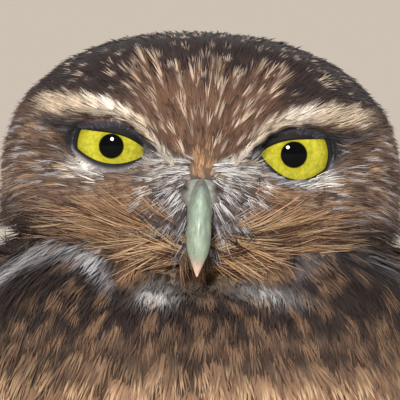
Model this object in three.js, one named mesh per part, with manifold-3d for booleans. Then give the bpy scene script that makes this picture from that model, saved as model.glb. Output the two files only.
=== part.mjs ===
// A burrowing owl at life size. It stands hunched on both feet, its head drawn down between its shoulders.
// Millimetres, +Z up. The bird faces -Y, so its left side is +X.
// The origin is on the floor, under the middle of its box.
import * as THREE from "three";
import { mergeVertices } from "three/addons/utils/BufferGeometryUtils.js";
import Module from "manifold-3d";

const wasm = await Module();
wasm.setup();

// Gap that two touching pieces keep
const GAP = 0.3;

// The middle of the bird's box, from bill to tail, in the frame that the sizes below are given in
const MIDDLE_Y = 9.8;

// Head: a superellipsoid about its own centre, wide and low, with a flat face
const HEAD_CENTRE = new THREE.Vector3(0, -11, 168);
const HEAD_HALF_WIDTH = 37;
const HEAD_UP = 28;
const HEAD_DOWN = 17;
const HEAD_FRONT = 25;
const HEAD_BACK = 30;
const ROUNDNESS = 2.2;
const HEAD_ROLL = THREE.MathUtils.degToRad(2.7);

// Eyes, in the head's own frame, on the bird's left side
const EYE = new THREE.Vector3(14.9, -13.6, 5.8);
const EYE_RADIUS = 7.5;
const EYE_OUTWARD = THREE.MathUtils.degToRad(12);
const IRIS_RADIUS = 6.2;
const LID_THICKNESS = 1.1;
const LID_REACH = THREE.MathUtils.degToRad(66);

// Bill: the culmen and the cutting edge as [forward, up], and half the width, in the head's own frame
const BILL = [
  { top: [23, 1.2], edge: [20, -8.5], half: 4.4 },
  { top: [29, 0.9], edge: [24.5, -9.6], half: 3.8 },
  { top: [33, -1.4], edge: [28, -10.4], half: 3.0 },
  { top: [35.6, -5.4], edge: [30.4, -11.4], half: 2.4 },
  { top: [36.2, -10], edge: [32.2, -13], half: 1.8 },
  { top: [34.9, -14.6], edge: [33.9, -15.4], half: 0.6 },
];
const BILL_TIP = [34.4, -16.6];
const LOWER_BILL = [
  { top: [18, -9.4], edge: [17, -12.6], half: 3.2 },
  { top: [26, -10.8], edge: [25, -14], half: 2.7 },
  { top: [30.4, -12.7], edge: [29.6, -14.6], half: 1.6 },
];
const LOWER_BILL_TIP = [31.2, -14.4];
const NOSTRIL = { side: 2.9, forward: 29.2, up: -2.2, radius: 0.75 };

// Torso, and the envelope that the folded wings lie on, as stations up the bird:
// [height, front, back, half width]
const TORSO = [
  [46, 2, 18, 9],
  [52, -9, 28, 19],
  [62, -21, 36, 28],
  [76, -32, 40, 35],
  [92, -39, 40, 39.5],
  [110, -43, 37, 41.5],
  [128, -42, 33, 41.5],
  [144, -38.5, 28.5, 40.5],
  [153, -35, 24, 37.5],
  [159, -29, 17, 31],
];
const ENVELOPE = [
  [22, 46, 70, 13],
  [30, 39, 66, 15],
  [40, 26, 61, 19],
  [52, 8, 55, 26],
  [64, -14, 49, 32],
  [78, -32, 44, 37],
  [92, -39, 41, 40],
  [110, -43, 37, 41.5],
  [128, -42, 33, 41.5],
  [144, -38.5, 28.5, 40.5],
];
const NECK_CUT = 146;

// Wings: each tier's roots run along a row, and its tips lie over the tier below.
// The tiers are primaries, secondaries, greater coverts, median coverts and scapulars.
// bearing, height and length run from the first vane of the tier to the last.
const VANE_THICKNESS = 0.55;
const VANE_TILT = 1.3;
const WING_THICKNESS = 2.8;
const WING_PATCH = { low: 80, high: 134, front: 60, back: 142 };
const TIERS = [
  {
    count: 5, rows: 5, width: 10, rise: 1.1, drift: 26,
    bearing: [76, 104], height: [92, 95], length: [46, 72],
  },
  {
    count: 5, rows: 4, width: 13, rise: 3.1, drift: 6,
    bearing: [98, 142], height: [97, 102], length: [48, 44],
  },
  {
    count: 5, rows: 3, width: 15, rise: 5.1, drift: 8,
    bearing: [74, 134], height: [106, 108], length: [26, 26],
  },
  {
    count: 4, rows: 3, width: 17, rise: 6.2, drift: 6,
    bearing: [74, 124], height: [120, 122], length: [24, 24],
  },
  {
    count: 3, rows: 4, width: 14, rise: 5.4, drift: -4,
    bearing: [136, 156], height: [132, 136], length: [46, 38],
  },
];

// Tail: feathers fanned from one root, the middle pair on top
const TAIL_ROOT = new THREE.Vector3(0, 33, 76);
const TAIL_SLOPE = THREE.MathUtils.degToRad(59);
const TAIL_LENGTH = 62;
const TAIL_FEATHERS = 12;
const TAIL_FAN = THREE.MathUtils.degToRad(9);
const TAIL_WIDTH = 10.5;

// Legs and feet
const LEG_X = 15;
const LEG_Y = -1;
const THIGH = [
  // height, x, y, half width, half depth
  [36, 0, 3, 5.6, 5.8],
  [44, 0, 3.6, 8.4, 8.8],
  [55, 0.5, 4.6, 11, 12],
  [66, 0.5, 6, 12, 13.5],
];
const SHANK_TOP = 35.7;
const ANKLE_TOP = 9;
const SHANK_RADIUS = 3.7;
const TOES = [
  // bearing from straight ahead, outward positive; length; radius
  { name: "inner", bearing: -14, length: 16, radius: 2.7, claw: 8 },
  { name: "middle", bearing: 12, length: 19, radius: 2.8, claw: 8 },
  { name: "outer", bearing: 74, length: 15, radius: 2.6, claw: 7 },
  { name: "hind", bearing: 168, length: 9, radius: 2.6, claw: 7 },
];

const COLOURS = {
  crown: { color: 0x5a4636, roughness: 0.85, metalness: 0 },
  mantle: { color: 0x6a5340, roughness: 0.85, metalness: 0 },
  breast: { color: 0xa98f72, roughness: 0.9, metalness: 0 },
  trousers: { color: 0xd8cbb4, roughness: 0.9, metalness: 0 },
  iris: { color: 0xcdc23a, roughness: 0.08, metalness: 0 },
  lid: { color: 0x2c2a2c, roughness: 0.6, metalness: 0 },
  horn: { color: 0x9aa88f, roughness: 0.35, metalness: 0 },
  scales: { color: 0x9c9484, roughness: 0.6, metalness: 0 },
  claw: { color: 0x2a2622, roughness: 0.3, metalness: 0 },
};

const { sin, cos, abs, min, max, sign, PI, hypot, asin } = Math;
const radians = THREE.MathUtils.degToRad;
const mix = (from, to, share) => from + (to - from) * share;
const bell = (offset, spread) => Math.exp(-((offset / spread) ** 2));
const step = (from, to, value) => THREE.MathUtils.smoothstep(value, from, to);
const power = (value, exponent) => sign(value) * abs(value) ** exponent;
const point = (x, y, z) => new THREE.Vector3(x, y, z);

// One column of a table of stations at a height: a cubic between neighbours,
// sloped at each station like the chord across it.
function follow(stations, column, height) {
  const last = stations.length - 1;
  const at = min(max(height, stations[0][0]), stations[last][0]);
  let i = 0;
  while (i < last - 1 && stations[i + 1][0] < at) i++;
  const slope = (k) => {
    const before = stations[max(k - 1, 0)];
    const after = stations[min(k + 1, last)];
    return (after[column] - before[column]) / (after[0] - before[0]);
  };
  const [from, to] = [stations[i], stations[i + 1]];
  const span = to[0] - from[0];
  const t = (at - from[0]) / span;
  const curve = t * t * (3 - 2 * t);
  const bend = slope(i) * t * (1 - t) ** 2 + slope(i + 1) * t * t * (t - 1);
  return mix(from[column], to[column], curve) + bend * span;
}

// A closed solid from rings of points with equal counts, its ends closed on a point each.
// paired holds the sides of a flat ring that are split the other way,
// so that both faces of a vane are split alike.
function loft(rings, { start, end, paired = [] } = {}) {
  const around = rings[0].length;
  const centre = (ring) => ring.reduce((sum, p) => sum.add(p), point(0, 0, 0)).divideScalar(around);
  const points = [...rings.flat(), start ?? centre(rings[0]), end ?? centre(rings[rings.length - 1])];
  const [first, last] = [points.length - 2, points.length - 1];
  const faces = [];
  for (let i = 0; i + 1 < rings.length; i++)
    for (let j = 0; j < around; j++) {
      const a = i * around + j;
      const b = i * around + ((j + 1) % around);
      const [c, d] = [a + around, b + around];
      if (paired.includes(j)) faces.push(a, b, c, b, d, c);
      else faces.push(a, b, d, a, d, c);
    }
  const top = (rings.length - 1) * around;
  for (let j = 0; j < around; j++) {
    const next = (j + 1) % around;
    faces.push(next, j, first, top + j, top + next, last);
  }
  return solidOf(points, faces);
}

// A manifold solid from points and triangles, turned the right way out.
function solidOf(points, faces) {
  const make = (triVerts) =>
    new wasm.Manifold(
      new wasm.Mesh({
        numProp: 3,
        vertProperties: new Float32Array(points.flatMap((p) => [p.x, p.y, p.z])),
        triVerts: new Uint32Array(triVerts),
      }),
    );
  const made = make(faces);
  if (made.volume() > 0) return made;
  const turned = [];
  for (let i = 0; i < faces.length; i += 3) turned.push(faces[i], faces[i + 2], faces[i + 1]);
  return make(turned);
}

// A manifold solid from a three.js geometry.
function solidFrom(geometry, place = new THREE.Matrix4()) {
  const bare = new THREE.BufferGeometry();
  bare.setAttribute("position", geometry.getAttribute("position").clone());
  bare.setIndex(geometry.index);
  const merged = mergeVertices(bare.applyMatrix4(place), 1e-4);
  const at = merged.getAttribute("position");
  const points = Array.from({ length: at.count }, (_, i) => new THREE.Vector3().fromBufferAttribute(at, i));
  return solidOf(points, [...merged.index.array]);
}

const boxFrom = (low, high) =>
  solidFrom(
    new THREE.BoxGeometry(high[0] - low[0], high[1] - low[1], high[2] - low[2]),
    new THREE.Matrix4().makeTranslation(
      (low[0] + high[0]) / 2,
      (low[1] + high[1]) / 2,
      (low[2] + high[2]) / 2,
    ),
  );
const ballAt = (centre, radius, across, down) =>
  solidFrom(
    new THREE.SphereGeometry(radius, across, down),
    new THREE.Matrix4().makeTranslation(centre.x, centre.y, centre.z),
  );

// The largest closed surface of a solid: sealed hollows and loose scraps are left behind.
function largest(solid) {
  const bodies = solid.decompose();
  return bodies.reduce((best, body) => (body.volume() > best.volume() ? body : best));
}

// A point on a stack of superellipse sections.
// The bearing runs from the front, round the bird's left side, to the back.
function onStack(stations, height, bearing, lift = 0) {
  const at = (z, angle) => {
    const front = follow(stations, 1, z);
    const back = follow(stations, 2, z);
    const half = follow(stations, 3, z);
    return point(
      half * power(sin(angle), 2 / ROUNDNESS),
      (front + back) / 2 - ((back - front) / 2) * power(cos(angle), 2 / ROUNDNESS),
      z,
    );
  };
  const here = at(height, bearing);
  if (!lift) return here;
  const small = 0.02;
  const round = at(height, bearing + small).sub(at(height, bearing - small));
  const rising = at(height + 0.5, bearing).sub(at(height - 0.5, bearing));
  return here.addScaledVector(round.cross(rising).normalize(), lift);
}

function stack(stations, { low, high, rows, around, lift = 0 }) {
  const rings = [];
  for (let i = 0; i < rows; i++) {
    const z = mix(low, high, i / (rows - 1));
    const ring = Array.from({ length: around }, (_, j) =>
      onStack(stations, z, (2 * PI * (j + 0.5)) / around, lift),
    );
    rings.push(ring);
  }
  return loft(rings);
}

// How far the plumage of the face stands forward of the plain head, at a place seen from the front.
function faceRelief(x, z) {
  const side = abs(x);
  const browLine = 12 + 0.1 * side - 13 * bell(side, 5);
  const brow = 3.2 * bell(z - browLine, 3.4) * step(1, 7, side) * (1 - step(25, 34, side));
  const dish = -4.6 * bell(hypot(side - 16.5, (z - 3.2) * 1.1), 9.5);
  const billRidge = 2.6 * bell(side, 4.5) * bell(z + 2, 8);
  const moustache = 2.8 * bell(hypot(side - 8, z + 9), 6);
  const ruff = 1.6 * bell(hypot(side / HEAD_HALF_WIDTH, z / (z > 0 ? HEAD_UP : HEAD_DOWN)) - 0.86, 0.1);
  return brow + dish + billRidge + moustache + ruff;
}

// A point of the head: turn goes round the line of sight, sweep goes from the face to the back of the head.
function onHead(turn, sweep, grow = 0) {
  const way = point(sin(sweep) * cos(turn), -cos(sweep), sin(sweep) * sin(turn));
  const reach = [HEAD_HALF_WIDTH, way.y < 0 ? HEAD_FRONT : HEAD_BACK, way.z > 0 ? HEAD_UP : HEAD_DOWN];
  const sum = way.toArray().reduce((total, part, k) => total + abs(part / reach[k]) ** ROUNDNESS, 0);
  const here = way.clone().multiplyScalar(sum ** (-1 / ROUNDNESS) + grow);
  here.y -= faceRelief(here.x, here.z) * step(0.15, 0.6, -way.y);
  return here;
}

function plainHead(grow, across = 36, down = 20) {
  const rings = [];
  for (let i = 1; i < down; i++) {
    const sweep = (PI * i) / down;
    rings.push(Array.from({ length: across }, (_, j) => onHead((2 * PI * j) / across, sweep, grow)));
  }
  return loft(rings, { start: onHead(0, 0, grow), end: onHead(0, PI, grow) });
}

// The edge of the opening between the lids, as a distance from the line of sight.
// The upper lid slants down to the bill, and the lower lid is a shallow bow.
function openingReach(angle, lowest) {
  const [out, up] = [cos(angle), sin(angle)];
  let reach = IRIS_RADIUS;
  while (reach > 0.5) {
    const [x, z] = [reach * out, reach * up];
    const upper = 2.3 + 0.31 * x - 0.027 * x * x;
    const lower = -lowest + 0.055 * x * x;
    if (z <= upper && z >= lower) break;
    reach -= 0.05;
  }
  return reach;
}

// A point about one eye: angle goes round the line of sight from outward to up, spread is the angle off it.
function aboutEye(side, angle, spread, radius) {
  const local = point(sin(spread) * cos(angle), -cos(spread), sin(spread) * sin(angle));
  local.applyAxisAngle(point(0, 0, 1), EYE_OUTWARD).multiplyScalar(radius).add(EYE);
  local.x *= side;
  return local;
}

function eyeball(side) {
  const [across, down] = [18, 10];
  const rings = [];
  for (let i = 1; i < down; i++) {
    const spread = (PI * i) / down;
    const ring = Array.from({ length: across }, (_, j) =>
      aboutEye(side, (2 * PI * j) / across, spread, EYE_RADIUS),
    );
    rings.push(ring);
  }
  return loft(rings, { start: aboutEye(side, 0, 0, EYE_RADIUS), end: aboutEye(side, 0, PI, EYE_RADIUS) });
}

// Both lids of an eye as one ring that lies on the eyeball, thickest at its lip.
function lids(side, lowest) {
  const across = 24;
  const near = EYE_RADIUS + 1.3 * GAP;
  const section = [
    // share of the way from the lip to the root, and height over the eyeball
    [0, 0],
    [0, 0.8],
    [0.12, 1.25],
    [0.5, 1.25],
    [1, 1.25],
    [1, 0],
    [0.7, 0],
    [0.35, 0],
  ];
  const points = [];
  const faces = [];
  for (let j = 0; j < across; j++) {
    const angle = (2 * PI * j) / across;
    const lip = asin(openingReach(angle, lowest) / EYE_RADIUS);
    for (const [share, height] of section)
      points.push(aboutEye(side, angle, mix(lip, LID_REACH, share), near + height * LID_THICKNESS));
  }
  const sides = section.length;
  for (let j = 0; j < across; j++)
    for (let k = 0; k < sides; k++) {
      const a = j * sides + k;
      const b = j * sides + ((k + 1) % sides);
      const c = ((j + 1) % across) * sides + k;
      const d = ((j + 1) % across) * sides + ((k + 1) % sides);
      faces.push(a, b, d, a, d, c);
    }
  return solidOf(points, faces);
}

// One half of the bill: a blade whose ridge and edge follow the table, its sides bowed between them.
function billHalf(table, tip, { lower = false, grow = 0 } = {}) {
  const rings = table.map(({ top, edge, half }) => {
    const along = new THREE.Vector2(...edge).sub(new THREE.Vector2(...top)).normalize().multiplyScalar(grow);
    const [topForward, topUp] = [top[0] - along.x, top[1] - along.y];
    const [edgeForward, edgeUp] = [edge[0] + along.x, edge[1] + along.y];
    const wide = half + grow;
    const bow = lower ? [1, 0.95, 0.35] : [0.42, 1, 0.85];
    const share = lower ? [0.05, 0.5, 0.97] : [0.07, 0.5, 1];
    const at = (k, way) =>
      point(way * wide * bow[k], -mix(topForward, edgeForward, share[k]), mix(topUp, edgeUp, share[k]));
    return [at(0, -1), at(0, 1), at(1, 1), at(2, 1), at(2, -1), at(1, -1)];
  });
  return loft(rings, { end: point(0, -tip[0] - grow, tip[1] - grow) });
}

// A flight feather or covert that lies on the envelope:
// a thin blade that leaves its root low and rises to its tier.
function vaneOnBody(side, { rows, height, bearing, length, width, rise, drift }) {
  const rings = [];
  let z = height;
  for (let i = 0; i <= rows; i++) {
    const share = i / rows;
    const angle = radians(bearing + drift * share * share);
    const here = onStack(ENVELOPE, z, angle);
    const perRadian = onStack(ENVELOPE, z, angle + 0.02).distanceTo(here) / 0.02;
    const perHeight = onStack(ENVELOPE, z - 1, angle).distanceTo(here);
    const half = (width / 2) * (1 - 0.5 * (1 - share) ** 6 - 0.55 * share ** 6);
    const base = mix(1.2, rise, step(0, 0.45, share));
    const turn = half / perRadian;
    const lifts = [base + VANE_TILT, base];
    const [outer, inner] = [angle - turn, angle + turn];
    rings.push([
      onStack(ENVELOPE, z, outer, lifts[0] + VANE_THICKNESS),
      onStack(ENVELOPE, z, inner, lifts[1] + VANE_THICKNESS),
      onStack(ENVELOPE, z, inner, lifts[1]),
      onStack(ENVELOPE, z, outer, lifts[0]),
    ]);
    z -= length / rows / perHeight;
  }
  if (side < 0) rings.forEach((ring) => ring.forEach((p) => (p.x *= -1)));
  return loft(rings, { paired: [2] });
}

// The arm and hand under the coverts: a slab on the torso, thin at its edges, that carries every root.
function wingArm(side) {
  const [rows, columns] = [7, 9];
  const outer = [];
  const inner = [];
  for (let i = 0; i < rows; i++)
    for (let j = 0; j < columns; j++) {
      const [v, u] = [(2 * i) / (rows - 1) - 1, (2 * j) / (columns - 1) - 1];
      const [squareU, squareV] = [u * Math.sqrt(1 - (v * v) / 2.4), v * Math.sqrt(1 - (u * u) / 2.4)];
      const z = mix(WING_PATCH.low, WING_PATCH.high, (squareV + 1) / 2);
      const angle = radians(mix(WING_PATCH.front, WING_PATCH.back, (squareU + 1) / 2));
      const lift = 1.1 + (WING_THICKNESS - 1.1) * (1 - max(abs(u), abs(v)) ** 4);
      outer.push(onStack(ENVELOPE, z, angle, lift));
      inner.push(onStack(ENVELOPE, z, angle, 1.5 * GAP));
    }
  const points = [...outer, ...inner];
  const faces = [];
  const count = outer.length;
  const quad = (a, b, c, d) => faces.push(a, b, c, a, c, d);
  for (let i = 0; i + 1 < rows; i++)
    for (let j = 0; j + 1 < columns; j++) {
      const a = i * columns + j;
      quad(a, a + 1, a + columns + 1, a + columns);
      quad(count + a + columns, count + a + columns + 1, count + a + 1, count + a);
    }
  const rim = [];
  for (let j = 0; j < columns - 1; j++) rim.push(j);
  for (let i = 0; i < rows - 1; i++) rim.push(i * columns + columns - 1);
  for (let j = columns - 1; j > 0; j--) rim.push((rows - 1) * columns + j);
  for (let i = rows - 1; i > 0; i--) rim.push(i * columns);
  rim.forEach((a, k) => {
    const b = rim[(k + 1) % rim.length];
    faces.push(a, count + a, b, b, count + a, count + b);
  });
  if (side < 0) points.forEach((p) => (p.x *= -1));
  return solidOf(points, faces);
}

function wing(side) {
  const vanes = TIERS.flatMap((tier) =>
    Array.from({ length: tier.count }, (_, i) => {
      const share = i / (tier.count - 1);
      return vaneOnBody(side, {
        ...tier,
        height: mix(...tier.height, share),
        bearing: mix(...tier.bearing, share),
        length: mix(...tier.length, share),
      });
    }),
  );
  return largest(wasm.Manifold.union([wingArm(side), ...vanes]));
}

// A tail feather, or a covert over or under the tail's root.
function tailVane({ fan, length, width, lift, start = 0 }) {
  const along = point(sin(fan), sin(TAIL_SLOPE - PI / 2) * -cos(fan), -sin(TAIL_SLOPE) * cos(fan));
  const across = point(cos(fan), 0, sin(fan) * 0.35);
  const out = across.clone().cross(along).normalize();
  if (out.y < 0) out.negate();
  const shares = [0, 0.3, 0.62, 0.86, 1];
  const widths = [0.5, 0.85, 1, 0.98, 0.6];
  const rings = shares.map((share, i) => {
    const here = TAIL_ROOT.clone().addScaledVector(along, start + length * share).addScaledVector(out, lift);
    const half = (width / 2) * widths[i];
    const corner = (way, up) => here.clone().addScaledVector(across, way * half).addScaledVector(out, up);
    return [corner(-1, 0.3), corner(1, 0.3), corner(1, -0.3), corner(-1, -0.3)];
  });
  return loft(rings, { paired: [2] });
}

function tail(torsoGrown) {
  const pieces = [];
  for (let i = 0; i < TAIL_FEATHERS; i++) {
    const place = (i - (TAIL_FEATHERS - 1) / 2) / ((TAIL_FEATHERS - 1) / 2);
    pieces.push(
      tailVane({
        fan: TAIL_FAN * place,
        length: TAIL_LENGTH * (1 - 0.05 * place * place),
        width: TAIL_WIDTH,
        lift: 1.6 - 5.6 * abs(place) + (place > 0 ? 0.45 : 0),
      }),
    );
  }
  for (const [count, lift, length] of [
    [4, 3.0, 30],
    [4, -5.2, 34],
  ])
    for (let i = 0; i < count; i++) {
      const place = (2 * i) / (count - 1) - 1;
      const fan = 1.4 * TAIL_FAN * place;
      pieces.push(tailVane({ fan, length, width: 11, lift: lift - sign(lift) * abs(place) * 1.4 }));
    }
  const root = solidFrom(
    new THREE.SphereGeometry(1, 14, 10),
    new THREE.Matrix4().compose(
      TAIL_ROOT.clone().add(point(0, 3, -5)),
      new THREE.Quaternion().setFromAxisAngle(point(1, 0, 0), TAIL_SLOPE - PI / 2),
      point(11, 7.5, 15),
    ),
  );
  return largest(wasm.Manifold.union([root, ...pieces]).subtract(torsoGrown));
}

function thigh(side, grow = 0) {
  const rings = THIGH.map(([z, x, y, half, depth]) =>
    Array.from({ length: 12 }, (_, j) => {
      const angle = (2 * PI * j) / 12;
      return point(
        side * (LEG_X + x) + (half + grow) * cos(angle),
        LEG_Y + y + (depth + grow) * sin(angle),
        z + (z === THIGH[0][0] ? -grow : 0),
      );
    }),
  );
  rings.push(rings[rings.length - 1].map((p) => p.clone().setZ(p.z + 2 + grow)));
  return loft(rings);
}

function shank(side) {
  const rings = [0, 0.25, 0.6, 1].map((share) => {
    const radius = SHANK_RADIUS * (1 + 0.22 * (2 * share - 1) ** 2);
    return Array.from({ length: 10 }, (_, j) => {
      const angle = (2 * PI * j) / 10;
      return point(
        side * LEG_X + radius * cos(angle),
        LEG_Y + mix(0, 3, share) + radius * sin(angle),
        mix(ANKLE_TOP + GAP, SHANK_TOP, share),
      );
    });
  });
  return loft(rings);
}

// A round tube along places in the plane of one toe: each is [distance out, height, radius].
function toeTube(side, bearing, places, sides, grow = 0) {
  const ahead = radians(bearing);
  const [outX, outY] = [side * sin(ahead), -cos(ahead)];
  const rings = places.map(([distance, height, radius], i) => {
    const before = places[max(i - 1, 0)];
    const after = places[min(i + 1, places.length - 1)];
    const slope = Math.atan2(after[1] - before[1], after[0] - before[0]);
    const reach = distance - (i === 0 ? grow : 0);
    return Array.from({ length: sides }, (_, j) => {
      const angle = (2 * PI * j) / sides;
      const [wide, tall] = [(radius + grow) * cos(angle), (radius + grow) * sin(angle)];
      const flat = reach - tall * sin(slope);
      return point(
        side * LEG_X + outX * flat + side * cos(ahead) * wide,
        LEG_Y + outY * flat + sin(ahead) * wide,
        height + tall * cos(slope),
      );
    });
  });
  return loft(rings);
}

function toe(side, { bearing, length, radius }) {
  return toeTube(
    side,
    bearing,
    [
      [-1, 5.4, radius * 1.2],
      [length * 0.28, 3.2, radius * 1.05],
      [length * 0.62, 1.9, radius * 0.98],
      [length * 0.92, 1.8, radius * 0.9],
      [length + 0.8, 1.9, radius * 0.45],
    ],
    6,
  );
}

function claw(side, { bearing, length, claw: long }, grow = 0) {
  const base = length - 0.6;
  return toeTube(
    side,
    bearing,
    [
      [base, 2.4, 1.15],
      [base + long * 0.35, 3.0, 1.0],
      [base + long * 0.7, 2.3, 0.62],
      [base + long * 0.95, 0.75, 0.2],
    ],
    6,
    grow,
  );
}

function foot(side) {
  const ankle = loft(
    [
      [ANKLE_TOP, SHANK_RADIUS * 1.2],
      [ANKLE_TOP - 3.5, SHANK_RADIUS * 1.3],
      [1.5, SHANK_RADIUS * 1.1],
    ].map(([z, radius]) =>
      Array.from({ length: 8 }, (_, j) =>
        point(side * LEG_X + radius * cos((PI * j) / 4), LEG_Y + radius * sin((PI * j) / 4), z),
      ),
    ),
  );
  const below = boxFrom([side * LEG_X - 40, LEG_Y - 40, -10], [side * LEG_X + 40, LEG_Y + 40, 0]);
  const whole = wasm.Manifold.union([ankle, ...TOES.map((one) => toe(side, one))]).subtract(below);
  return largest(wasm.Manifold.difference([whole, ...TOES.map((one) => claw(side, one, GAP))]));
}

// Puts a solid of the head's own frame in its place, with the head's tilt to one side.
const headPlace = new THREE.Matrix4()
  .makeTranslation(HEAD_CENTRE)
  .multiply(new THREE.Matrix4().makeRotationY(HEAD_ROLL));
const onBird = (solid) => solid.transform(headPlace.toArray());

// The bird stands on its feet with its box centred on the origin
const owl = new THREE.Group();
const bird = new THREE.Group();
bird.position.y = -MIDDLE_Y;
owl.add(bird);

function add(name, solid, colour) {
  const made = solid.getMesh();
  const geometry = new THREE.BufferGeometry();
  geometry.setAttribute("position", new THREE.BufferAttribute(made.vertProperties, 3));
  geometry.setIndex(new THREE.BufferAttribute(made.triVerts, 1));
  geometry.computeVertexNormals();
  const mesh = new THREE.Mesh(geometry, new THREE.MeshStandardMaterial(COLOURS[colour]));
  mesh.name = name;
  bird.add(mesh);
}

// Head, eyes, lids and bill
const nostrils = [-1, 1].map((side) =>
  ballAt(point(side * NOSTRIL.side, -NOSTRIL.forward, NOSTRIL.up), NOSTRIL.radius, 8, 6),
);
const upperBill = wasm.Manifold.difference([
  billHalf(BILL, BILL_TIP),
  billHalf(LOWER_BILL, LOWER_BILL_TIP, { lower: true, grow: GAP }),
  ...nostrils,
]);
const sockets = [-1, 1].map((side) => {
  const centre = point(side * EYE.x, EYE.y, EYE.z);
  return ballAt(centre, EYE_RADIUS + 1.25 * LID_THICKNESS + 3 * GAP, 22, 14);
});
const head = wasm.Manifold.difference([
  plainHead(0),
  ...sockets,
  billHalf(BILL, BILL_TIP, { grow: GAP }),
  billHalf(LOWER_BILL, LOWER_BILL_TIP, { lower: true, grow: GAP }),
]);
add("head", largest(onBird(head)), "crown");
add("bill_upper", largest(onBird(upperBill)), "horn");
add("bill_lower", largest(onBird(billHalf(LOWER_BILL, LOWER_BILL_TIP, { lower: true }))), "horn");
for (const [side, name, lowest] of [
  [1, "left", 4.4],
  [-1, "right", 3.2],
]) {
  add(`eye_${name}`, onBird(eyeball(side)), "iris");
  add(`eyelids_${name}`, onBird(lids(side, lowest)), "lid");
}

// Neck and torso: one body parted by a thin cut, with the head's underside let into the neck
const bodyTop = TORSO[TORSO.length - 1][0];
const neck = stack(TORSO, { low: NECK_CUT + GAP / 2, high: bodyTop, rows: 5, around: 28 });
const roomForHead = wasm.Manifold.union([
  plainHead(GAP),
  billHalf(BILL, BILL_TIP, { grow: GAP }),
  billHalf(LOWER_BILL, LOWER_BILL_TIP, { lower: true, grow: GAP }),
]);
add("neck", largest(neck.subtract(onBird(roomForHead))), "breast");
const torso = stack(TORSO, { low: TORSO[0][0], high: NECK_CUT - GAP / 2, rows: 18, around: 28 });
const thighSockets = [-1, 1].map((side) => thigh(side, GAP));
add("torso", largest(wasm.Manifold.difference([torso, ...thighSockets])), "breast");

const torsoGrown = stack(TORSO, {
  low: TORSO[0][0] - GAP,
  high: NECK_CUT,
  rows: 18,
  around: 28,
  lift: 1.5 * GAP,
});
add("tail", tail(torsoGrown), "mantle");
for (const [side, name] of [
  [1, "left"],
  [-1, "right"],
]) {
  add(`wing_${name}`, wing(side), "mantle");
  add(`thigh_${name}`, thigh(side), "trousers");
  add(`shank_${name}`, shank(side), "trousers");
  add(`foot_${name}`, foot(side), "scales");
  for (const one of TOES) add(`claw_${name}_${one.name}`, claw(side, one), "claw");
}

export default owl;
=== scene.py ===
# %% [markdown]
# A burrowing owl, drawn down on its long legs so that the head sits between the shoulders.
# The frame comes first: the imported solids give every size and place, and the coat is grown over a
# skin that lies inside them by the depth of the feathers.

# %% Load the frame
import math

import bpy
import numpy as np
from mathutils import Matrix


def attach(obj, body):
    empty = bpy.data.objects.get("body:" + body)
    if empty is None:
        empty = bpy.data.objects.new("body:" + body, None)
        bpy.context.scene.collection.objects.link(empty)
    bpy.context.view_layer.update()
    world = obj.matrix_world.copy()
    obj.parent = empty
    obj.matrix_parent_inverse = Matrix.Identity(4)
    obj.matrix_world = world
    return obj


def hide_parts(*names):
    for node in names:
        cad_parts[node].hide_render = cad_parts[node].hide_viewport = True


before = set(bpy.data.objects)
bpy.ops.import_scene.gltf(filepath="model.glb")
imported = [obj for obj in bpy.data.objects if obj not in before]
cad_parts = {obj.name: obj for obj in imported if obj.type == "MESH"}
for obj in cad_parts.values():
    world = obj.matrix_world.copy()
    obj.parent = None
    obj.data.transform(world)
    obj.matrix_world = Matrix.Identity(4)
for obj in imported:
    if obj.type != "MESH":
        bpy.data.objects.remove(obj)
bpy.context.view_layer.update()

MM = 0.001

# %% [markdown]
# The owl's own sizes, in millimetres, are the ones the solids were built from. The head is a
# wide superellipsoid about its own centre. The trunk is a stack of superellipse sections. Both
# are written as functions of arrays, so that a skin, a root of a feather and a marking all ask
# the same formula where the body is.

# %% Driving sizes
MIDDLE_Y = 9.8
HEAD_CENTRE = np.array([0.0, -11.0, 168.0])
HEAD_HALF_WIDTH, HEAD_UP, HEAD_DOWN = 37.6, 28.0, 17.0
HEAD_FRONT, HEAD_BACK = 25.0, 30.0
ROUNDNESS = 2.2
HEAD_ROLL = math.radians(2.7)

EYE = np.array([15.9, -12.9, 5.8])
EYE_RADIUS = 8.2
EYE_OUTWARD = math.radians(4)
EYE_SIGHT = EYE[0] + EYE_RADIUS * math.sin(EYE_OUTWARD)
IRIS_RADIUS = 6.4
LID_REACH = math.radians(66)

BROW = np.array([
    # distance from the middle, height of the brow's middle line, half its breadth
    [3, 0.6, 1.5], [5, 2.4, 2.1], [6.5, 3.8, 2.2], [8, 6.0, 1.8], [9.6, 8.6, 1.7], [11.5, 10.4, 1.6],
    [14.5, 11.9, 1.6], [18, 12.9, 1.9], [22, 13.3, 1.9], [27, 13.1, 1.8], [33, 12.2, 1.6],
])
TORSO = np.array([
    # height, front, back, half width
    [46, 2, 18, 9], [52, -9, 28, 19], [62, -21, 36, 28], [76, -32, 40, 35], [92, -39, 40, 39.5],
    [110, -43, 37, 41.5], [128, -42, 33, 41.5], [144, -38.5, 28.5, 40.5], [153, -35, 24, 37.5],
    [159, -29, 17, 31],
])
ENVELOPE = np.array([
    # the same four measures for the surface that the folded wings lie on
    [22, 46, 70, 13], [30, 39, 66, 15], [40, 26, 61, 19], [52, 8, 55, 26], [64, -14, 49, 32],
    [78, -32, 44, 37], [92, -39, 41, 40], [110, -43, 37, 41.5], [128, -42, 33, 41.5],
    [144, -38.5, 28.5, 40.5],
])
LEG_X, LEG_Y = 15.0, -1.0
SIDES = ((1, "left"), (-1, "right"))
SKIN_DEPTH = 1.3
random = np.random.default_rng(7)
print("head across:", 2 * HEAD_HALF_WIDTH, "mm, trunk across:", 2 * TORSO[:, 3].max(), "mm")

# %% [markdown]
# Everything below is worked out for whole arrays of places at once. A soft step and a bell are the
# two curves that shape both the relief of the face and the edges of its markings.

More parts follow.
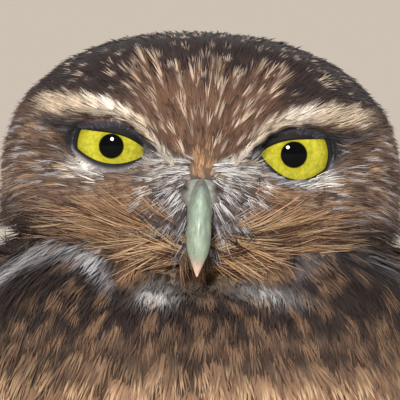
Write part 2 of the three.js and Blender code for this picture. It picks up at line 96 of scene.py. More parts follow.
# %% Small helpers on arrays
def soft(low, high, value):
    """Smooth step: 0 below low, 1 above high, an S curve between."""
    share = np.clip((value - low) / (high - low), 0.0, 1.0)
    return share * share * (3 - 2 * share)


def bell(offset, spread):
    """exp of minus the squared offset over the spread."""
    return np.exp(-((offset / spread) ** 2))


def signed_power(value, exponent):
    """The magnitude raised to the exponent, with the sign kept."""
    return np.sign(value) * np.abs(value) ** exponent


def unit(vectors):
    """Each vector over its own length."""
    return vectors / np.maximum(np.linalg.norm(vectors, axis=-1, keepdims=True), 1e-9)


def follow(stations, column, height):
    """A cubic between neighbouring stations, its slope at each the chord across its neighbours."""
    z = np.clip(height, stations[0, 0], stations[-1, 0])
    levels, values = stations[:, 0], stations[:, column]
    index = np.clip(np.searchsorted(levels, z, side="left") - 1, 0, len(levels) - 2)
    before = np.maximum(np.arange(len(levels)) - 1, 0)
    after = np.minimum(np.arange(len(levels)) + 1, len(levels) - 1)
    slopes = (values[after] - values[before]) / (levels[after] - levels[before])
    span = levels[index + 1] - levels[index]
    t = (z - levels[index]) / span
    curve = t * t * (3 - 2 * t)
    bend = slopes[index] * t * (1 - t) ** 2 + slopes[index + 1] * t * t * (t - 1)
    return values[index] + (values[index + 1] - values[index]) * curve + bend * span


def on_stack(stations, height, bearing, lift=0.0):
    """A superellipse section at a height: bearing 0 is the front, a quarter turn the bird's left.
    A lift moves the point out along the surface's normal."""
    def at(z, angle):
        front, back, half = (follow(stations, column, z) for column in (1, 2, 3))
        across = half * signed_power(np.sin(angle), 2 / ROUNDNESS)
        along = (front + back) / 2 - (back - front) / 2 * signed_power(np.cos(angle), 2 / ROUNDNESS)
        return np.stack(np.broadcast_arrays(across, along, z), axis=-1)

    here = at(height, bearing)
    around = at(height, bearing + 0.02) - at(height, bearing - 0.02)
    rising = at(height + 0.5, bearing) - at(height - 0.5, bearing)
    out = unit(np.cross(around, rising))
    return here + out * np.asarray(lift)[..., None]


def face_relief(x, z):
    """How far the face's plumage stands forward: brow, eye dish, bill ridge, moustache and ruff,
    each a bell or a soft step of the place seen from the front."""
    side = np.abs(x)
    brow = 3.0 * bell(z - follow(BROW, 1, side), 3.0) * soft(3, 8, side) * (1 - soft(25, 34, side))
    brow = brow * (1 + 0.5 * bell(side - 9, 4))
    dish = -6.5 * (1 - soft(5.0, 8.8, np.hypot(side - 16.5, (z - 5.9) * 1.6)))
    bill_ridge = 2.6 * bell(side, 4.5) * bell(z + 2, 8)
    moustache = 2.8 * bell(np.hypot(side - 8, z + 9), 6) + 9.0 * bell(side, 5.5) * bell(z + 14, 3.2)
    height = np.where(z > 0, HEAD_UP, HEAD_DOWN)
    ruff = 1.6 * bell(np.hypot(side / HEAD_HALF_WIDTH, z / height) - 0.86, 0.1)
    return brow + dish + bill_ridge + moustache + ruff


def head_norm(points):
    """The superellipsoid's own measure of a place: 1 on the plain head, less inside."""
    x, y, z = points[..., 0], points[..., 1], points[..., 2]
    total = np.abs(x / HEAD_HALF_WIDTH) ** ROUNDNESS
    total = total + np.abs(y / np.where(y < 0, HEAD_FRONT, HEAD_BACK)) ** ROUNDNESS
    total = total + np.abs(z / np.where(z > 0, HEAD_UP, HEAD_DOWN)) ** ROUNDNESS
    return total ** (1 / ROUNDNESS)


def on_head(turn, sweep, sink=0.0):
    """A ray from the head's centre, stopped at the superellipsoid, less a sink, plus the relief."""
    way = ball_way(sweep, turn)
    point = way / head_norm(way)[..., None]
    point = point - way * np.asarray(sink)[..., None]
    forward = face_relief(point[..., 0], point[..., 2]) * soft(0.15, 0.6, -way[..., 1])
    point[..., 1] -= forward
    return point


def head_to_bird(points):
    """Turns the head a little to one side about the line of sight and sets it on its centre."""
    x, y, z = points[..., 0], points[..., 1], points[..., 2]
    cos, sin = math.cos(HEAD_ROLL), math.sin(HEAD_ROLL)
    return np.stack([x * cos + z * sin, y, z * cos - x * sin], axis=-1) + HEAD_CENTRE


def bird_to_head(points):
    """The other way: a place on the bird in the head's own frame."""
    x, y, z = np.moveaxis(points - HEAD_CENTRE, -1, 0)
    cos, sin = math.cos(HEAD_ROLL), math.sin(HEAD_ROLL)
    return np.stack([x * cos - z * sin, y, z * cos + x * sin], axis=-1)


def about_eye(side, angle, spread, radius):
    """A point about one eye: angle goes round the line of sight from outward to up, and spread is
    the angle off that line."""
    x, y, z = np.sin(spread) * np.cos(angle), -np.cos(spread), np.sin(spread) * np.sin(angle)
    cos, sin = math.cos(EYE_OUTWARD), math.sin(EYE_OUTWARD)
    local = np.stack(np.broadcast_arrays(x * cos - y * sin, x * sin + y * cos, z), axis=-1)
    local = local * np.asarray(radius)[..., None] + EYE
    return local * np.array([side, 1.0, 1.0])


def colour(red, green, blue):
    """A colour read as 0 to 255 display values, as linear light."""
    values = np.array([red, green, blue]) / 255
    return np.where(values <= 0.04045, values / 12.92, ((values + 0.055) / 1.055) ** 2.4)


def mix(first, second, share):
    """From the first colour to the second by a share."""
    return first + (second - first) * np.asarray(share)[..., None]


# %% [markdown]
# A mesh could be built face by face in edit mode. Here each piece is handed over as arrays of points
# and faces, which is quick even for a coat of a million triangles, and colours and maps follow the
# same way, one value for each vertex.

# %% Helpers that make meshes
def mesh_piece(name, points, quads, triangles=None):
    """One object from an array of points in millimetres, an array of quads and one of triangles."""
    quads = np.asarray(quads, dtype=np.int32).reshape(-1, 4)
    triangles = np.zeros((0, 3), np.int32) if triangles is None else np.asarray(triangles, np.int32)
    shifted = (points.reshape(-1, 3) - np.array([0, MIDDLE_Y, 0])) * MM
    mesh = bpy.data.meshes.new(name)
    mesh.vertices.add(len(shifted))
    mesh.vertices.foreach_set("co", shifted.astype(np.float32).ravel())
    corners = np.concatenate([quads.ravel(), triangles.ravel()])
    mesh.loops.add(len(corners))
    mesh.loops.foreach_set("vertex_index", corners)
    sizes = np.concatenate([np.full(len(quads), 4), np.full(len(triangles), 3)])
    starts = np.concatenate([[0], np.cumsum(sizes)[:-1]]).astype(np.int32)
    mesh.polygons.add(len(sizes))
    mesh.polygons.foreach_set("loop_start", starts)
    mesh.update(calc_edges=True)
    mesh.polygons.foreach_set("use_smooth", np.ones(len(sizes), bool))
    piece = bpy.data.objects.new(name, mesh)
    bpy.context.scene.collection.objects.link(piece)
    return piece


def paint_piece(piece, tint):
    """Stores a colour for each vertex as the attribute that the coat's materials read."""
    layer = piece.data.color_attributes.new("tint", "FLOAT_COLOR", "POINT")
    rows = tint.reshape(-1, 3)
    rgba = np.concatenate([rows, np.ones((len(rows), 1))], axis=1)
    layer.data.foreach_set("color", rgba.astype(np.float32).ravel())


def map_piece(piece, name, places):
    """Stores a map of each vertex's place, given once per vertex and copied to each corner."""
    layer = piece.data.uv_layers.new(name=name)
    corners = np.empty(len(piece.data.loops), np.int32)
    piece.data.loops.foreach_get("vertex_index", corners)
    layer.data.foreach_set("uv", places.reshape(-1, 2)[corners].astype(np.float32).ravel())


def ring_faces(rings, around, first=0):
    """Quads between neighbouring rings of equal counts, closed round, facing out for rings that
    run clockwise seen from the start."""
    row, column = np.meshgrid(np.arange(rings - 1), np.arange(around), indexing="ij")
    a = first + row * around + column
    b = first + row * around + (column + 1) % around
    return np.stack([a, b, b + around, a + around], axis=-1).reshape(-1, 4)


def closed_rings(rings, start=None, end=None):
    """A closed surface from an array of rings, its two ends closed on a point each."""
    count, around = rings.shape[:2]
    start = rings[0].mean(axis=0) if start is None else start
    end = rings[-1].mean(axis=0) if end is None else end
    points = np.concatenate([rings.reshape(-1, 3), [start], [end]])
    quads = ring_faces(count, around)
    first, last = count * around, count * around + 1
    column = np.arange(around)
    following = (column + 1) % around
    top = (count - 1) * around
    triangles = np.concatenate([
        np.stack([following, column, np.full(around, first)], axis=-1),
        np.stack([top + column, top + following, np.full(around, last)], axis=-1),
    ])
    return turned_out(points, quads, triangles)


def closed_ball(at, across, down):
    """A closed surface from a function at(sweep, turn): the sweep runs from one pole to the other and
    the turn about them, and each pole is one point."""
    sweep = np.pi * np.arange(1, down)[:, None] / down
    turn = 2 * np.pi * np.arange(across)[None, :] / across
    poles = [at(np.array(end), np.array(0.0)) for end in (0.0, np.pi)]
    return closed_rings(at(sweep, turn), *poles)


def ball_way(sweep, turn):
    """The unit vector at a sweep off straight ahead and a turn about it."""
    return np.stack(np.broadcast_arrays(
        np.sin(sweep) * np.cos(turn), -np.cos(sweep), np.sin(sweep) * np.sin(turn)), axis=-1)


def turned_out(points, quads, triangles):
    """Turns every face round if the surface's signed volume is negative."""
    fans = np.concatenate([quads[:, [0, 1, 2]], quads[:, [0, 2, 3]], triangles])
    a, b, c = (points[fans[:, k]] for k in range(3))
    if np.einsum("ij,ij->", a, np.cross(b, c)) < 0:
        quads, triangles = quads[:, ::-1], triangles[:, ::-1]
    return points, quads, triangles


def joined(surfaces):
    """Several (points, quads, triangles) as one."""
    points, quads, triangles, count = [], [], [], 0
    for some, four, three in surfaces:
        points.append(some)
        quads.append(four + count)
        triangles.append(three + count)
        count += len(some)
    return np.concatenate(points), np.concatenate(quads), np.concatenate(triangles)


# %% [markdown]
# The camera looks level at the face, a little from above, from so far off that the face isn't
# foreshortened, as through a long lens. The frame is as wide as the head. A pale floor runs to
# the horizon. The main lamp stands a little above and to the left of the camera and gives the small
# round light in each eye, and a weak broad one overhead softens the shadows.

# %% Camera, floor and light
FRAME_WIDTH = 72.0
CAMERA_FAR = 1200.0
CAMERA_UP = math.radians(2)
AIM = np.array([-0.2, -33.0 - MIDDLE_Y, 164.9])

lens = bpy.data.cameras.new("camera")
lens.sensor_width = 36
lens.lens = 36 * CAMERA_FAR / FRAME_WIDTH
lens.clip_start = 0.1
lens.clip_end = 300
camera = bpy.data.objects.new("camera", lens)
back_off = np.array([0, -math.cos(CAMERA_UP), math.sin(CAMERA_UP)]) * CAMERA_FAR
camera.location = (AIM + back_off) * MM
camera.rotation_euler = (math.pi / 2 - CAMERA_UP, 0, 0)
bpy.context.scene.collection.objects.link(camera)
bpy.context.scene.camera = camera


def material(name, roughness=0.8, specular=0.3, **sockets):
    """A Principled material with its constant values on the shader's own sockets."""
    made = bpy.data.materials.new(name)
    made.use_nodes = True
    shader = made.node_tree.nodes["Principled BSDF"]
    shader.inputs["Roughness"].default_value = roughness
    shader.inputs["Specular IOR Level"].default_value = specular
    for socket, value in sockets.items():
        shader.inputs[socket.replace("_", " ")].default_value = value
    return made, made.node_tree.nodes, made.node_tree.links, shader


def grained_material(name, texture, scale, first, second, roughness, specular, **sockets):
    """A material whose colour runs from the first tone to the second by a texture read in object
    space. Returns the material, its nodes, its links, its shader and the texture's value."""
    made, nodes, links, shader = material(name, roughness, specular, **sockets)
    place = nodes.new("ShaderNodeTexCoord")
    grain = nodes.new(texture)
    grain.inputs["Scale"].default_value = scale
    ramp = nodes.new("ShaderNodeValToRGB")
    for stop, tone in zip(ramp.color_ramp.elements, (first, second)):
        stop.color = (*colour(*tone), 1)
    links.new(place.outputs["Object"], grain.inputs["Vector"])
    links.new(grain.outputs[0], ramp.inputs["Fac"])
    links.new(ramp.outputs["Color"], shader.inputs["Base Color"])
    return made, nodes, links, shader, grain.outputs[0]


FLOOR = 60.0
floor_mesh = bpy.data.meshes.new("floor")
corners = [(-FLOOR, -FLOOR, 0), (FLOOR, -FLOOR, 0), (FLOOR, FLOOR, 0), (-FLOOR, FLOOR, 0)]
floor_mesh.from_pydata(corners, [], [(0, 1, 2, 3)])
floor = bpy.data.objects.new("floor", floor_mesh)
bpy.context.scene.collection.objects.link(floor)
plaster, *rest = grained_material(
    "pale floor", "ShaderNodeTexNoise", 120, (210, 196, 178), (218, 204, 186), 0.9, 0.2)
floor_mesh.materials.append(plaster)

world = bpy.data.worlds.new("studio")
world.use_nodes = True
sky = world.node_tree.nodes["Background"]
sky.inputs["Color"].default_value = (0.88, 0.91, 1.0, 1)
sky.inputs["Strength"].default_value = 0.38
bpy.context.scene.world = world


def sun(name, left, up, strength, angle, tint):
    """A far lamp from an angle to the left of the camera's side and an angle above level."""
    lamp = bpy.data.lights.new(name, "SUN")
    lamp.energy = strength
    lamp.angle = math.radians(angle)
    lamp.color = tint
    holder = bpy.data.objects.new(name, lamp)
    holder.rotation_euler = (math.radians(90 - up), 0, -math.radians(left))
    bpy.context.scene.collection.objects.link(holder)


LAMPS = [
    # name, degrees to the left, degrees up, strength, breadth in degrees, colour
    ("key", 7, 17, 4.0, 8, (1.0, 0.95, 0.88)),
    ("top", -30, 62, 0.9, 60, (0.86, 0.92, 1.0)),
]
for lamp in LAMPS:
    sun(*lamp)
bpy.context.scene.view_settings.view_transform = "Standard"
print("camera at", [round(v, 3) for v in camera.location], "lens", round(lens.lens), "mm")

# %% [markdown]
# The skin is one closed surface under the whole coat: head, neck, trunk, thighs and shanks. A
# sculptor could carve it in clay. Here each part is a closed grid worked out from its formula,
# and a voxel remesh joins them, so that no seam shows where the head sinks between the shoulders.

# %% Skin
THROAT_DEPTH, THROAT_HEIGHT = 5.5, 154.5


def head_surface(sink, across=96, down=64):
    """The head from the face's middle to its back, by its own formula."""
    points, quads, triangles = closed_ball(lambda sweep, turn: on_head(turn, sweep, sink), across, down)
    return head_to_bird(points), quads, triangles


def trunk_surface(stations, low, high, sink, rows=60, around=96):
    """Rings of a stack of sections between two heights. A bell of the bearing and the height hollows
    the throat, so that the moustache can hang in front of it."""
    z = np.linspace(low, high, rows)[:, None]
    bearing = 2 * np.pi * np.arange(around)[None, :] / around
    off_front = np.remainder(bearing + np.pi, 2 * np.pi) - np.pi
    throat = THROAT_DEPTH * bell(off_front, 0.45) * bell(z - THROAT_HEIGHT, 4.5)
    return closed_rings(on_stack(stations, z, bearing, -sink - throat))


THIGH = np.array([
    # height, x, y, half width, half depth
    [33, 0, 2.4, 3.6, 3.9], [38, 0, 3, 5.0, 5.2], [46, 0, 3.8, 8.0, 8.4], [56, 0.5, 4.8, 10.4, 11.2],
    [68, 0.5, 6, 10.6, 12],
])
SHANK = np.array([
    [4, 0, 0, 3.0, 3.0], [9, 0, 0, 2.9, 3.1], [20, 0, 1.2, 2.5, 2.7], [30, 0, 2.4, 2.8, 3.1],
    [40, 0, 3, 4.0, 4.3],
])


def leg_surface(side, stations, around=32, rows=24):
    """Rings of an upright limb: an ellipse at each height, its centre and halves from stations."""
    z = np.linspace(stations[0, 0], stations[-1, 0], rows)[:, None]
    angle = 2 * np.pi * np.arange(around)[None, :] / around
    x, y, half, depth = (follow(stations, column, z) for column in (1, 2, 3, 4))
    rings = np.stack(np.broadcast_arrays(
        side * (LEG_X + x) + half * np.cos(angle), LEG_Y + y + depth * np.sin(angle), z), axis=-1)
    return closed_rings(rings)


WING_PATCH = {"low": 80.0, "high": 134.0, "front": math.radians(60), "back": math.radians(142)}
WING_RISE = 2.0


def wing_arm_surface(side):
    """A lens on the envelope: the turn and the sweep of a ball become a bearing and a height, and the
    cube of the sweep's cosine the lift, so that the lens has no hard rim."""
    def at(sweep, turn):
        u, v = np.sin(sweep) * np.cos(turn), np.sin(sweep) * np.sin(turn)
        z = WING_PATCH["low"] + (WING_PATCH["high"] - WING_PATCH["low"]) * (v + 1) / 2
        bearing = WING_PATCH["front"] + (WING_PATCH["back"] - WING_PATCH["front"]) * (u + 1) / 2
        lift = -SKIN_DEPTH - 0.3 + (WING_RISE + SKIN_DEPTH) * np.cos(sweep) ** 3 * np.ones_like(bearing)
        return on_stack(ENVELOPE, z, bearing, lift) * np.array([side, 1, 1])

    return closed_ball(at, 64, 24)


TAIL_ROOT = np.array([0, 33, 76.0])
TAIL_SLOPE = math.radians(59)


def tail_root_surface():
    """A long ball about the tail's root, its length along the tail."""
    cos, sin = math.cos(TAIL_SLOPE - np.pi / 2), math.sin(TAIL_SLOPE - np.pi / 2)
    centre = TAIL_ROOT + np.array([0, 1, -5])

    def at(sweep, turn):
        x = 9.0 * np.sin(sweep) * np.cos(turn)
        y = 5.2 * np.sin(sweep) * np.sin(turn)
        z = 14 * np.cos(sweep) * np.ones_like(x)
        return np.stack([x, y * cos + z * sin, z * cos - y * sin], axis=-1) + centre

    return closed_ball(at, 32, 24)


parts = [head_surface(SKIN_DEPTH), trunk_surface(TORSO, 47, 158.5, SKIN_DEPTH), tail_root_surface()]
for side in (1, -1):
    parts += [leg_surface(side, THIGH), leg_surface(side, SHANK), wing_arm_surface(side)]
skin = mesh_piece("skin", *joined(parts))
VOXEL = 1.1 * MM
remesh = skin.modifiers.new("join", "REMESH")
remesh.mode, remesh.voxel_size, remesh.use_smooth_shade = "VOXEL", VOXEL, True
smooth = skin.modifiers.new("settle", "SMOOTH")
smooth.factor, smooth.iterations = 0.5, 6


def apply_modifiers(piece):
    """Keeps the evaluated mesh and drops the modifiers."""
    graph = bpy.context.evaluated_depsgraph_get()
    made = bpy.data.meshes.new_from_object(piece.evaluated_get(graph))
    piece.modifiers.clear()
    piece.data = made


apply_modifiers(skin)
skin.data.polygons.foreach_set("use_smooth", np.ones(len(skin.data.polygons), bool))
print("skin:", len(skin.data.polygons), "faces")

# %% [markdown]
# Every feather needs a root on the skin. Points are drawn at random over the skin's triangles,
# by area, and then thinned to one in each small cube of space, which spaces them as evenly as a
# bird's own feather rows without a visible grid.

# %% Places on the skin
skin.data.calc_loop_triangles()
skin_points = np.empty(len(skin.data.vertices) * 3, np.float32)
skin.data.vertices.foreach_get("co", skin_points)
skin_points = skin_points.reshape(-1, 3) / MM + np.array([0, MIDDLE_Y, 0])
skin_normals = np.empty(len(skin.data.vertices) * 3, np.float32)
skin.data.vertices.foreach_get("normal", skin_normals)
skin_normals = skin_normals.reshape(-1, 3)
skin_triangles = np.empty(len(skin.data.loop_triangles) * 3, np.int32)
skin.data.loop_triangles.foreach_get("vertices", skin_triangles)
skin_triangles = skin_triangles.reshape(-1, 3)
corner_points = skin_points[skin_triangles]
triangle_areas = 0.5 * np.linalg.norm(
    np.cross(corner_points[:, 1] - corner_points[:, 0], corner_points[:, 2] - corner_points[:, 0]), axis=1)
print("skin area, square millimetres:", round(float(triangle_areas.sum())))


def places(chosen, spacing):
    """Evenly strewn (points, normals) on the part of the skin where chosen(points) is true."""
    wanted = np.flatnonzero(chosen(corner_points.mean(axis=1)))
    areas = triangle_areas[wanted]
    tries = int(10 * areas.sum() / spacing**2)
    picked = wanted[np.searchsorted(np.cumsum(areas) / areas.sum(), random.random(tries))]
    first, second = random.random((2, tries, 1))
    fold = first + second > 1
    first, second = np.where(fold, 1 - first, first), np.where(fold, 1 - second, second)
    third = 1 - first - second
    weights = np.stack([first, second, third], axis=1)
    points = (skin_points[skin_triangles[picked]] * weights).sum(axis=1)
    normals = unit((skin_normals[skin_triangles[picked]] * weights).sum(axis=1))
    cells = np.floor(points / (spacing * 1.12)).astype(np.int64)
    _, kept = np.unique(cells @ np.array([1, 4099, 4099**2]), return_index=True)
    kept = np.sort(kept)
    return points[kept], normals[kept]


# %% [markdown]
# A small body feather is a shaft with soft barbs. Drawn as one flat blade it looks like paper, so
# each feather here is a bundle of thin tapering blades that leave one root, fan out and curl back
# to the body. A blade's colour comes from where it lies in its feather, so a pale streak or spot
# gets the soft, hairy edge that the real one has.

# %% Feathers
PATCH = 0.003


def feathers(name, roots, normals, lie, length, width, paint, tilt=0.22, bend=0.16, barbs=9, steps=3,
             sink=0.6, fullness=1.7, ragged=0.14, unwrap=None):
    """Each barb's middle line runs from its root along the lie, rises by tilt and falls back by
    bend times the square of the way, and spreads sideways by a power of the way. Its half width
    tapers to the tip. paint gives each vertex its colour from the way along its barb, the barb's
    place across the feather, the feather's index and the vertex's place."""
    count = len(roots)
    lie = unit(lie - normals * np.sum(lie * normals, axis=1, keepdims=True))
    side = np.cross(normals, lie)
    shape = (count, barbs, steps + 1)
    way = np.broadcast_to(np.linspace(0, 1, steps + 1), shape)
    across = np.broadcast_to(np.linspace(-1, 1, barbs)[None, :, None], shape)
    across = across + random.normal(0, 0.5 / barbs, (count, barbs, 1))
    reach = length[:, None, None] * (1 - 0.22 * across**2)
    reach = reach * (1 + random.normal(0, ragged, (count, barbs, 1)))
    stray = random.normal(0, 0.07, (count, barbs, 1))
    sideways = width[:, None, None] / 2 * across * way**0.65 + stray * reach * way**1.5
    rise = np.broadcast_to(tilt, count)[:, None, None]
    steep = rise * (1 + random.normal(0, 0.3, (count, 1, 1))) + random.normal(0, 0.04, (count, barbs, 1))
    hollow = 0.12 * width[:, None, None] * across**2 * way
    height = reach * (steep * way - bend * way**2) - hollow - sink * (1 - way) ** 2
    middle = (roots[:, None, None] + lie[:, None, None] * (reach * way)[..., None]
              + side[:, None, None] * sideways[..., None] + normals[:, None, None] * height[..., None])
    roll = random.normal(0, 0.35, (count, barbs, 1))
    cross = side[:, None, None] * np.cos(roll)[..., None] + normals[:, None, None] * np.sin(roll)[..., None]
    half = fullness * width[:, None, None] / (2 * barbs) * (1 - way**1.6 * 0.94)
    edges = np.stack([middle - cross * half[..., None], middle + cross * half[..., None]], axis=3)
    index = np.broadcast_to(np.arange(count)[:, None, None], shape)
    tint = np.clip(paint(way, across, index, middle), 0.002, 1.0)
    tint = np.broadcast_to(tint[:, :, :, None], (*shape, 2, 3))
    first = (np.arange(count * barbs)[:, None] * (steps + 1) + np.arange(steps)[None, :]) * 2
    quads = np.stack([first, first + 1, first + 3, first + 2], axis=-1)
    piece = mesh_piece(name, edges, quads)
    paint_piece(piece, tint)
    centre = unwrap(roots)[:, None, None]
    patch = centre + PATCH * np.stack([0.5 * np.clip(across, -1, 1), way], axis=-1)
    map_piece(piece, "OFBake", np.broadcast_to(patch[:, :, :, None], (*shape, 2, 2)))
    piece.data.materials.append(coat_finish)
    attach(piece, "root")
    print(f"{name}: {count} feathers, {2 * len(quads.reshape(-1, 4))} triangles")
    return piece


def unwrap_head(points):
    """A disc: the angle off the line of sight is the distance from the middle, the turn about it
    the direction."""
    local = unit(bird_to_head(points))
    off = np.arccos(np.clip(-local[..., 1], -1, 1)) / np.pi
    turn = np.arctan2(local[..., 2], local[..., 0])
    return np.stack([0.5 + 0.485 * off * np.cos(turn), 0.5 + 0.485 * off * np.sin(turn)], axis=-1)


def unwrap_trunk(points):
    """A cylinder: the bearing about the trunk's axis against the height."""
    bearing = np.arctan2(points[..., 0], -points[..., 1]) / (2 * np.pi) + 0.5
    return np.stack([0.01 + 0.98 * bearing, 0.01 + 0.98 * points[..., 2] / 200], axis=-1)


def uneven_group():
    """Makes the node group that lightens and darkens a colour by a fine noise read in object space,
    stretched down the body, as wear and dust do."""
    group = bpy.data.node_groups.new("uneven tint", "ShaderNodeTree")
    group.interface.new_socket("Color", in_out="INPUT", socket_type="NodeSocketColor")
    scale = group.interface.new_socket("Scale", in_out="INPUT", socket_type="NodeSocketVector")
    scale.default_value = (600, 600, 250)
    amount = group.interface.new_socket("Amount", in_out="INPUT", socket_type="NodeSocketFloat")
    amount.default_value = 0.2
    group.interface.new_socket("Color", in_out="OUTPUT", socket_type="NodeSocketColor")
    nodes, links = group.nodes, group.links
    given, result = nodes.new("NodeGroupInput"), nodes.new("NodeGroupOutput")
    place = nodes.new("ShaderNodeTexCoord")
    stretch = nodes.new("ShaderNodeVectorMath")
    stretch.operation = "MULTIPLY"
    noise = nodes.new("ShaderNodeTexNoise")
    noise.inputs["Scale"].default_value = 1.0
    noise.inputs["Detail"].default_value = 3
    swing = nodes.new("ShaderNodeMath")
    swing.operation = "SUBTRACT"
    swing.inputs[1].default_value = 0.5
    factor = nodes.new("ShaderNodeMath")
    factor.operation = "MULTIPLY_ADD"
    factor.inputs[2].default_value = 1.0
    times = nodes.new("ShaderNodeVectorMath")
    times.operation = "SCALE"
    links.new(place.outputs["Object"], stretch.inputs[0])
    links.new(given.outputs["Scale"], stretch.inputs[1])
    links.new(stretch.outputs["Vector"], noise.inputs["Vector"])
    links.new(noise.outputs["Fac"], swing.inputs[0])
    links.new(swing.outputs["Value"], factor.inputs[0])
    links.new(given.outputs["Amount"], factor.inputs[1])
    links.new(given.outputs["Color"], times.inputs[0])
    links.new(factor.outputs["Value"], times.inputs["Scale"])
    links.new(times.outputs["Vector"], result.inputs["Color"])
    return group


UNEVEN = uneven_group()


def tinted_material(name, roughness, specular, scale, amount, **sockets):
    """A material whose colour is the mesh's own tint, made uneven by the shared group."""
    made, nodes, links, shader = material(name, roughness, specular, **sockets)
    tint = nodes.new("ShaderNodeAttribute")
    tint.attribute_name = "tint"
    uneven = nodes.new("ShaderNodeGroup")
    uneven.node_tree = UNEVEN
    uneven.inputs["Scale"].default_value = scale
    uneven.inputs["Amount"].default_value = amount
    links.new(tint.outputs["Color"], uneven.inputs["Color"])
    links.new(uneven.outputs["Color"], shader.inputs["Base Color"])
    return made


DOWNY = {"Sheen_Weight": 0.1, "Sheen_Roughness": 0.5}
coat_finish = tinted_material("coat", 0.78, 0.22, (700, 700, 350), 0.5, **DOWNY)

# %% [markdown]
# The markings are one set of formulas that both the skin and the coat ask. On the head they are
# read in the head's own frame, as seen from the front: the white brows, the streaked forehead,
# the spotted dark crown, the grey lores and the tawny cheeks. A barb takes the colour of the place
# where its outer half lies, so a marking keeps a hairy edge.

# %% Colours of the plumage
CROWN_DARK = colour(50, 39, 37)
CROWN_BROWN = colour(84, 64, 54)
FOREHEAD = colour(114, 84, 66)
STREAK = colour(192, 170, 150)
WHITE = colour(250, 246, 240)
CREAM = colour(232, 218, 198)
BUFF = colour(190, 160, 126)
TAWNY = colour(172, 134, 100)
RUFOUS = colour(92, 56, 38)
SIDE_BROWN = colour(112, 90, 78)
NAPE_BROWN = colour(100, 78, 63)
LORE_GREY = colour(96, 88, 90)
LID_GREY = colour(52, 50, 58)
PALE_GREY = colour(200, 200, 206)
DARK = colour(36, 27, 25)


def opening_reach(side, angle):
    """The last distance off the line of sight that still lies between the lids: the upper edge is
    a cubic of the outward distance and the lower edge a shallow bow."""
    reach = np.arange(0.4, IRIS_RADIUS, 0.02)
    out, up = reach * np.cos(angle)[:, None], reach * np.sin(angle)[:, None]
    upper = 2.3 + (0.35 if side > 0 else 0.0) + 0.13 * out - 0.03 * out**2 + 0.004 * out**3
    lower = -4.5 + 0.09 * (out - 1) ** 2 if side > 0 else -3.15 + 0.055 * (out + 0.3) ** 2
    open_here = (up <= upper) & (up >= lower)
    shut = np.concatenate([~open_here, np.ones((len(angle), 1), bool)], axis=1)
    last = reach[np.clip(np.argmax(shut, axis=1) - 1, 0, None)]
    padded = np.concatenate([last[-2:], last, last[:2]])
    return np.convolve(padded, np.array([1, 2, 3, 2, 1]) / 9, mode="valid")


TURNS = np.linspace(-np.pi, np.pi, 361)
OPENINGS = {side: opening_reach(side, TURNS) for side in (1, -1)}
print("eye openings, widest reach in mm:", [round(float(reach.max()), 2) for reach in OPENINGS.values()])


def beyond_lids(local):
    """How far outside the nearer eye's opening a place of the face lies, and the sine of its turn."""
    out, up = np.abs(local[..., 0]) - EYE_SIGHT, local[..., 2] - EYE[2]
    turn = np.arctan2(up, out)
    left, right = (np.interp(turn, TURNS, OPENINGS[side]) for side in (1, -1))
    reach = np.where(local[..., 0] > 0, left, right)
    return np.hypot(out, up) - reach, np.sin(turn)


def mottle(local, size, seed):
    """A smooth uneven value between 0 and 1: a product of sines of bent coordinates."""
    x, y, z = (local[..., axis] / size for axis in range(3))
    across = np.sin(x + 1.7 * np.sin(z * 0.8 + seed))
    along = np.sin(z * 1.1 + 1.3 * np.sin(x * 0.9 + 2 * seed) + y * 0.5)
    return 0.5 + 0.5 * (across * along)


def brow_share(local):
    """How white the brow is: a band about the brow's wavering line, from beside the bill to the
    temple, of uneven strength."""
    side, depth, z = np.abs(local[..., 0]), local[..., 1], local[..., 2]
    line, half = follow(BROW, 1, side), follow(BROW, 2, side)
    line = line + 0.35 * np.sin(1.7 * local[..., 0]) + 0.3 * np.sin(4.1 * local[..., 0] + z)
    band = 1 - soft(0.6, 1.2, np.abs(z - line) / half)
    uneven = 0.62 + 0.5 * mottle(local * np.array([0.8, 1, 1.5]), 0.8, 6.0) + 0.3 * bell(side - 17, 4)
    ends = soft(2.6, 4.2, side) * (1 - soft(27, 33, side)) * (1 - soft(-14, -5, depth))
    return np.minimum(uneven, 0.94) * band * ends


